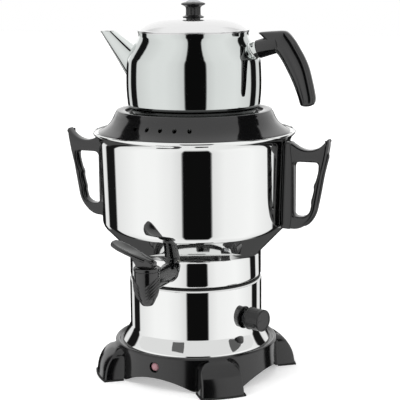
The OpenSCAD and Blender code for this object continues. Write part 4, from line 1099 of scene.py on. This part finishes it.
# in metres, but for the lens and its sensor
CAMERA_AT = Vector((0.5474, -1.3065, 0.4652))
FLOOR_SIZE = 14
FOCAL_LENGTH = 111.8
SENSOR_WIDTH = 36
# how much whiter the camera sees the floor than the lamp lights it
FLOOR_LIFT = 0.4

bpy.ops.object.select_all(action="DESELECT")
bpy.ops.mesh.primitive_plane_add(size=FLOOR_SIZE)
floor = named("floor")
floor_paint = bpy.data.materials.new("matt_white_floor")
floor_paint.use_nodes = True
tree = floor_paint.node_tree
paint = tree.nodes["Principled BSDF"]
paint.inputs["Base Color"].default_value = linear("#F4F4F4")
paint.inputs["Roughness"].default_value = 0.9
paint.inputs["Specular IOR Level"].default_value = 0.0
paint.inputs["Emission Color"].default_value = (1, 1, 1, 1)
seen = add(tree, "ShaderNodeLightPath").outputs["Is Camera Ray"]
lift = add(tree, "ShaderNodeMath", {0: seen, 1: FLOOR_LIFT}, operation="MULTIPLY")
tree.links.new(lift.outputs[0], paint.inputs["Emission Strength"])
floor.data.materials.append(floor_paint)
floor.visible_glossy = False
floor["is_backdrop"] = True

world = bpy.data.worlds.new("studio")
bpy.context.scene.world = world
world.use_nodes = True
tree = world.node_tree
tree.nodes.clear()
way = add(tree, "ShaderNodeTexCoord").outputs["Generated"]


def along(x, y):
    """How far a ray points along a level direction."""
    return add(tree, "ShaderNodeVectorMath", {0: way, 1: (x, y, 0)},
               operation="DOT_PRODUCT").outputs["Value"]


def worked(kind, *values):
    """The result of one operation on its values."""
    return add(tree, "ShaderNodeMath", dict(enumerate(values)), operation=kind).outputs[0]


def risen(value, start, end):
    """0 up to the start and 1 from the end on, which may be the lower of the two."""
    return add(tree, "ShaderNodeMapRange", {"Value": value, "From Min": start,
                                            "From Max": end}).outputs[0]


def laid_over(share, under, level):
    """A colour with an even grey laid over a share of it."""
    return add(tree, "ShaderNodeMix", {0: share, 6: under, 7: (level, level, level, 1)},
               data_type="RGBA").outputs[2]


to_right = along(math.cos(VIEW_AZIMUTH), math.sin(VIEW_AZIMUTH))
to_front = along(math.sin(VIEW_AZIMUTH), -math.cos(VIEW_AZIMUTH))
bearing = worked("ARCTAN2", to_right, to_front)
part_turn = worked("MULTIPLY_ADD", bearing, 1 / math.tau, 0.5)
# brightness of the room round the samovar by bearing in degrees, 0 towards the camera, + to its right
ROOM = [(-180, 0.01), (-149, 0.01), (-147, 0.95), (-136, 0.90), (-134, 0.01), (-115, 0.01),
        (-112.5, 0.92), (-75, 1.10), (-50, 1.10), (-30, 1.0), (-17.0, 0.85), (-15.0, 0.005),
        (20.5, 0.005), (22.5, 0.90), (38, 1.05), (75, 1.12), (111.5, 0.95), (114, 0.01),
        (131, 0.01), (133, 0.90), (147, 0.95), (149, 0.01), (180, 0.01)]
room = add(tree, "ShaderNodeValToRGB", {"Fac": part_turn})
ramp = room.color_ramp
while len(ramp.elements) > 1:
    ramp.elements.remove(ramp.elements[0])
for i, (degrees, level) in enumerate(ROOM):
    stop = ramp.elements[0] if i == 0 else ramp.elements.new(0.5 + degrees / 360)
    stop.position = 0.5 + degrees / 360
    stop.color = (level, level, level, 1)
height = add(tree, "ShaderNodeSeparateXYZ", {"Vector": way}).outputs["Z"]
turned_away = worked("ABSOLUTE", bearing)
# the upright dark cards end 77 to 82 degrees up, 48 to 60 degrees down and, behind, at eye level
above = risen(height, 0.974, 0.99)
below = risen(height, -0.74, -0.87)
over_back = worked("MULTIPLY", risen(height, -0.03, 0.02), risen(turned_away, 2.55, 2.65))
open_sky = worked("MAXIMUM", worked("MAXIMUM", above, below), over_back)
around = laid_over(open_sky, room.outputs["Color"], 0.97)
# the brightest white hangs over and behind the samovar, and whitens its lid
high = worked("MULTIPLY", risen(height, 0.6, 0.8), risen(turned_away, 1.65, 1.9))
around = laid_over(worked("MAXIMUM", high, over_back), around, 1.22)
# a dark card lies low behind the samovar, which the cone of the boiler reflects
dark_low = worked("MULTIPLY", risen(height, -0.34, -0.40), risen(height, -0.93, -0.88))
dark_low = worked("MULTIPLY", dark_low, risen(turned_away, 2.2, 2.3))
around = laid_over(dark_low, around, 0.07)
# the camera itself sees plain white behind the samovar
shown = laid_over(add(tree, "ShaderNodeLightPath").outputs["Is Camera Ray"], around, 1)
sky = add(tree, "ShaderNodeBackground", {"Color": shown, "Strength": 1.0})
add(tree, "ShaderNodeOutputWorld", {"Surface": sky.outputs[0]})


def lamp(name, spot, aim, size, power):
    """A soft square lamp at a spot in metres, pointed at another."""
    light = bpy.data.lights.new(name, "AREA")
    light.size = size
    light.energy = power
    obj = bpy.data.objects.new(name, light)
    bpy.context.scene.collection.objects.link(obj)
    obj.location = spot
    obj.rotation_euler = (Vector(aim) - Vector(spot)).to_track_quat("-Z", "Y").to_euler()
    return obj


def card(name, kind, spot, size, level):
    """A level card that only reflections from below see: a disc or a plate, bright or dark.
    The spot is its distance from the axis, its bearing in degrees from the camera's side and its
    height. The size is a disc's radius, or how far a plate reaches across and outwards, in all."""
    away, side, z = spot
    side = math.radians(side) + VIEW_AZIMUTH
    bpy.ops.object.select_all(action="DESELECT")
    if kind == "disc":
        bpy.ops.mesh.primitive_circle_add(vertices=64, radius=1, fill_type="NGON")
    else:
        bpy.ops.mesh.primitive_plane_add(size=1)
    made = named(name)
    made.scale = (size[0] * MM, size[1] * MM, 1)
    place(made, (away * math.sin(side), -away * math.cos(side), z), (0, 0, side))
    paint = bpy.data.materials.new(name)
    paint.use_nodes = True
    nodes = paint.node_tree
    nodes.nodes.clear()
    glow = add(nodes, "ShaderNodeEmission", {"Color": (1, 1, 1, 1), "Strength": level})
    clear = add(nodes, "ShaderNodeBsdfTransparent")
    under = add(nodes, "ShaderNodeNewGeometry").outputs["Backfacing"]
    shade = add(nodes, "ShaderNodeMixShader", {0: under, 1: clear.outputs[0], 2: glow.outputs[0]})
    add(nodes, "ShaderNodeOutputMaterial", {"Surface": shade.outputs[0]})
    made.data.materials.append(paint)
    made.visible_camera = False
    made.visible_diffuse = False
    made.visible_shadow = False
    made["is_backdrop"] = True


# a white card over the drum's flared foot and one over the vented ring, with dark ones just below
DRUM_PATCH_Z = 119
RING_PATCH_Z = 324
card("drum_card", "disc", (0, 0, 121), (240, 240), 0.86)
card("drum_patch_front", "plate", (143, -24.5, DRUM_PATCH_Z), (44, 34), 0.14)
card("drum_patch_right", "plate", (150, 66, DRUM_PATCH_Z), (110, 62), 0.12)
card("drum_patch_left", "plate", (121, -96, DRUM_PATCH_Z), (70, 34), 0.10)
card("ring_card", "disc", (0, 0, 326), (200, 200), 1.05)
card("ring_patch_left", "plate", (116, -66, RING_PATCH_Z), (50, 66), 0.02)
card("ring_patch_right", "plate", (118, 54, RING_PATCH_Z), (50, 64), 0.02)

key_light = lamp("key", (-0.9, -1.1, 1.7), (0, 0, 0.2), size=0.9, power=9)
key_light.visible_glossy = False

# the camera looks at the tap from the right and a little down, and leans over by ROLL
sight = Vector((-math.sin(VIEW_AZIMUTH) * math.cos(VIEW_DOWN),
                math.cos(VIEW_AZIMUTH) * math.cos(VIEW_DOWN), -math.sin(VIEW_DOWN)))
level = Vector((math.cos(VIEW_AZIMUTH), math.sin(VIEW_AZIMUTH), 0))
upright = level.cross(sight)
ROLL = math.radians(-0.5)
across = level * math.cos(ROLL) + upright * math.sin(ROLL)
upward = upright * math.cos(ROLL) - level * math.sin(ROLL)
lens_data = bpy.data.cameras.new("camera")
lens_data.lens = FOCAL_LENGTH
lens_data.sensor_width = SENSOR_WIDTH
camera = bpy.data.objects.new("camera", lens_data)
bpy.context.scene.collection.objects.link(camera)
axes = Matrix((across, upward, -sight)).transposed().to_4x4()
camera.matrix_world = Matrix.Translation(CAMERA_AT) @ axes
bpy.context.scene.camera = camera
bpy.context.scene.view_settings.view_transform = "Standard"

low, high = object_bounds()
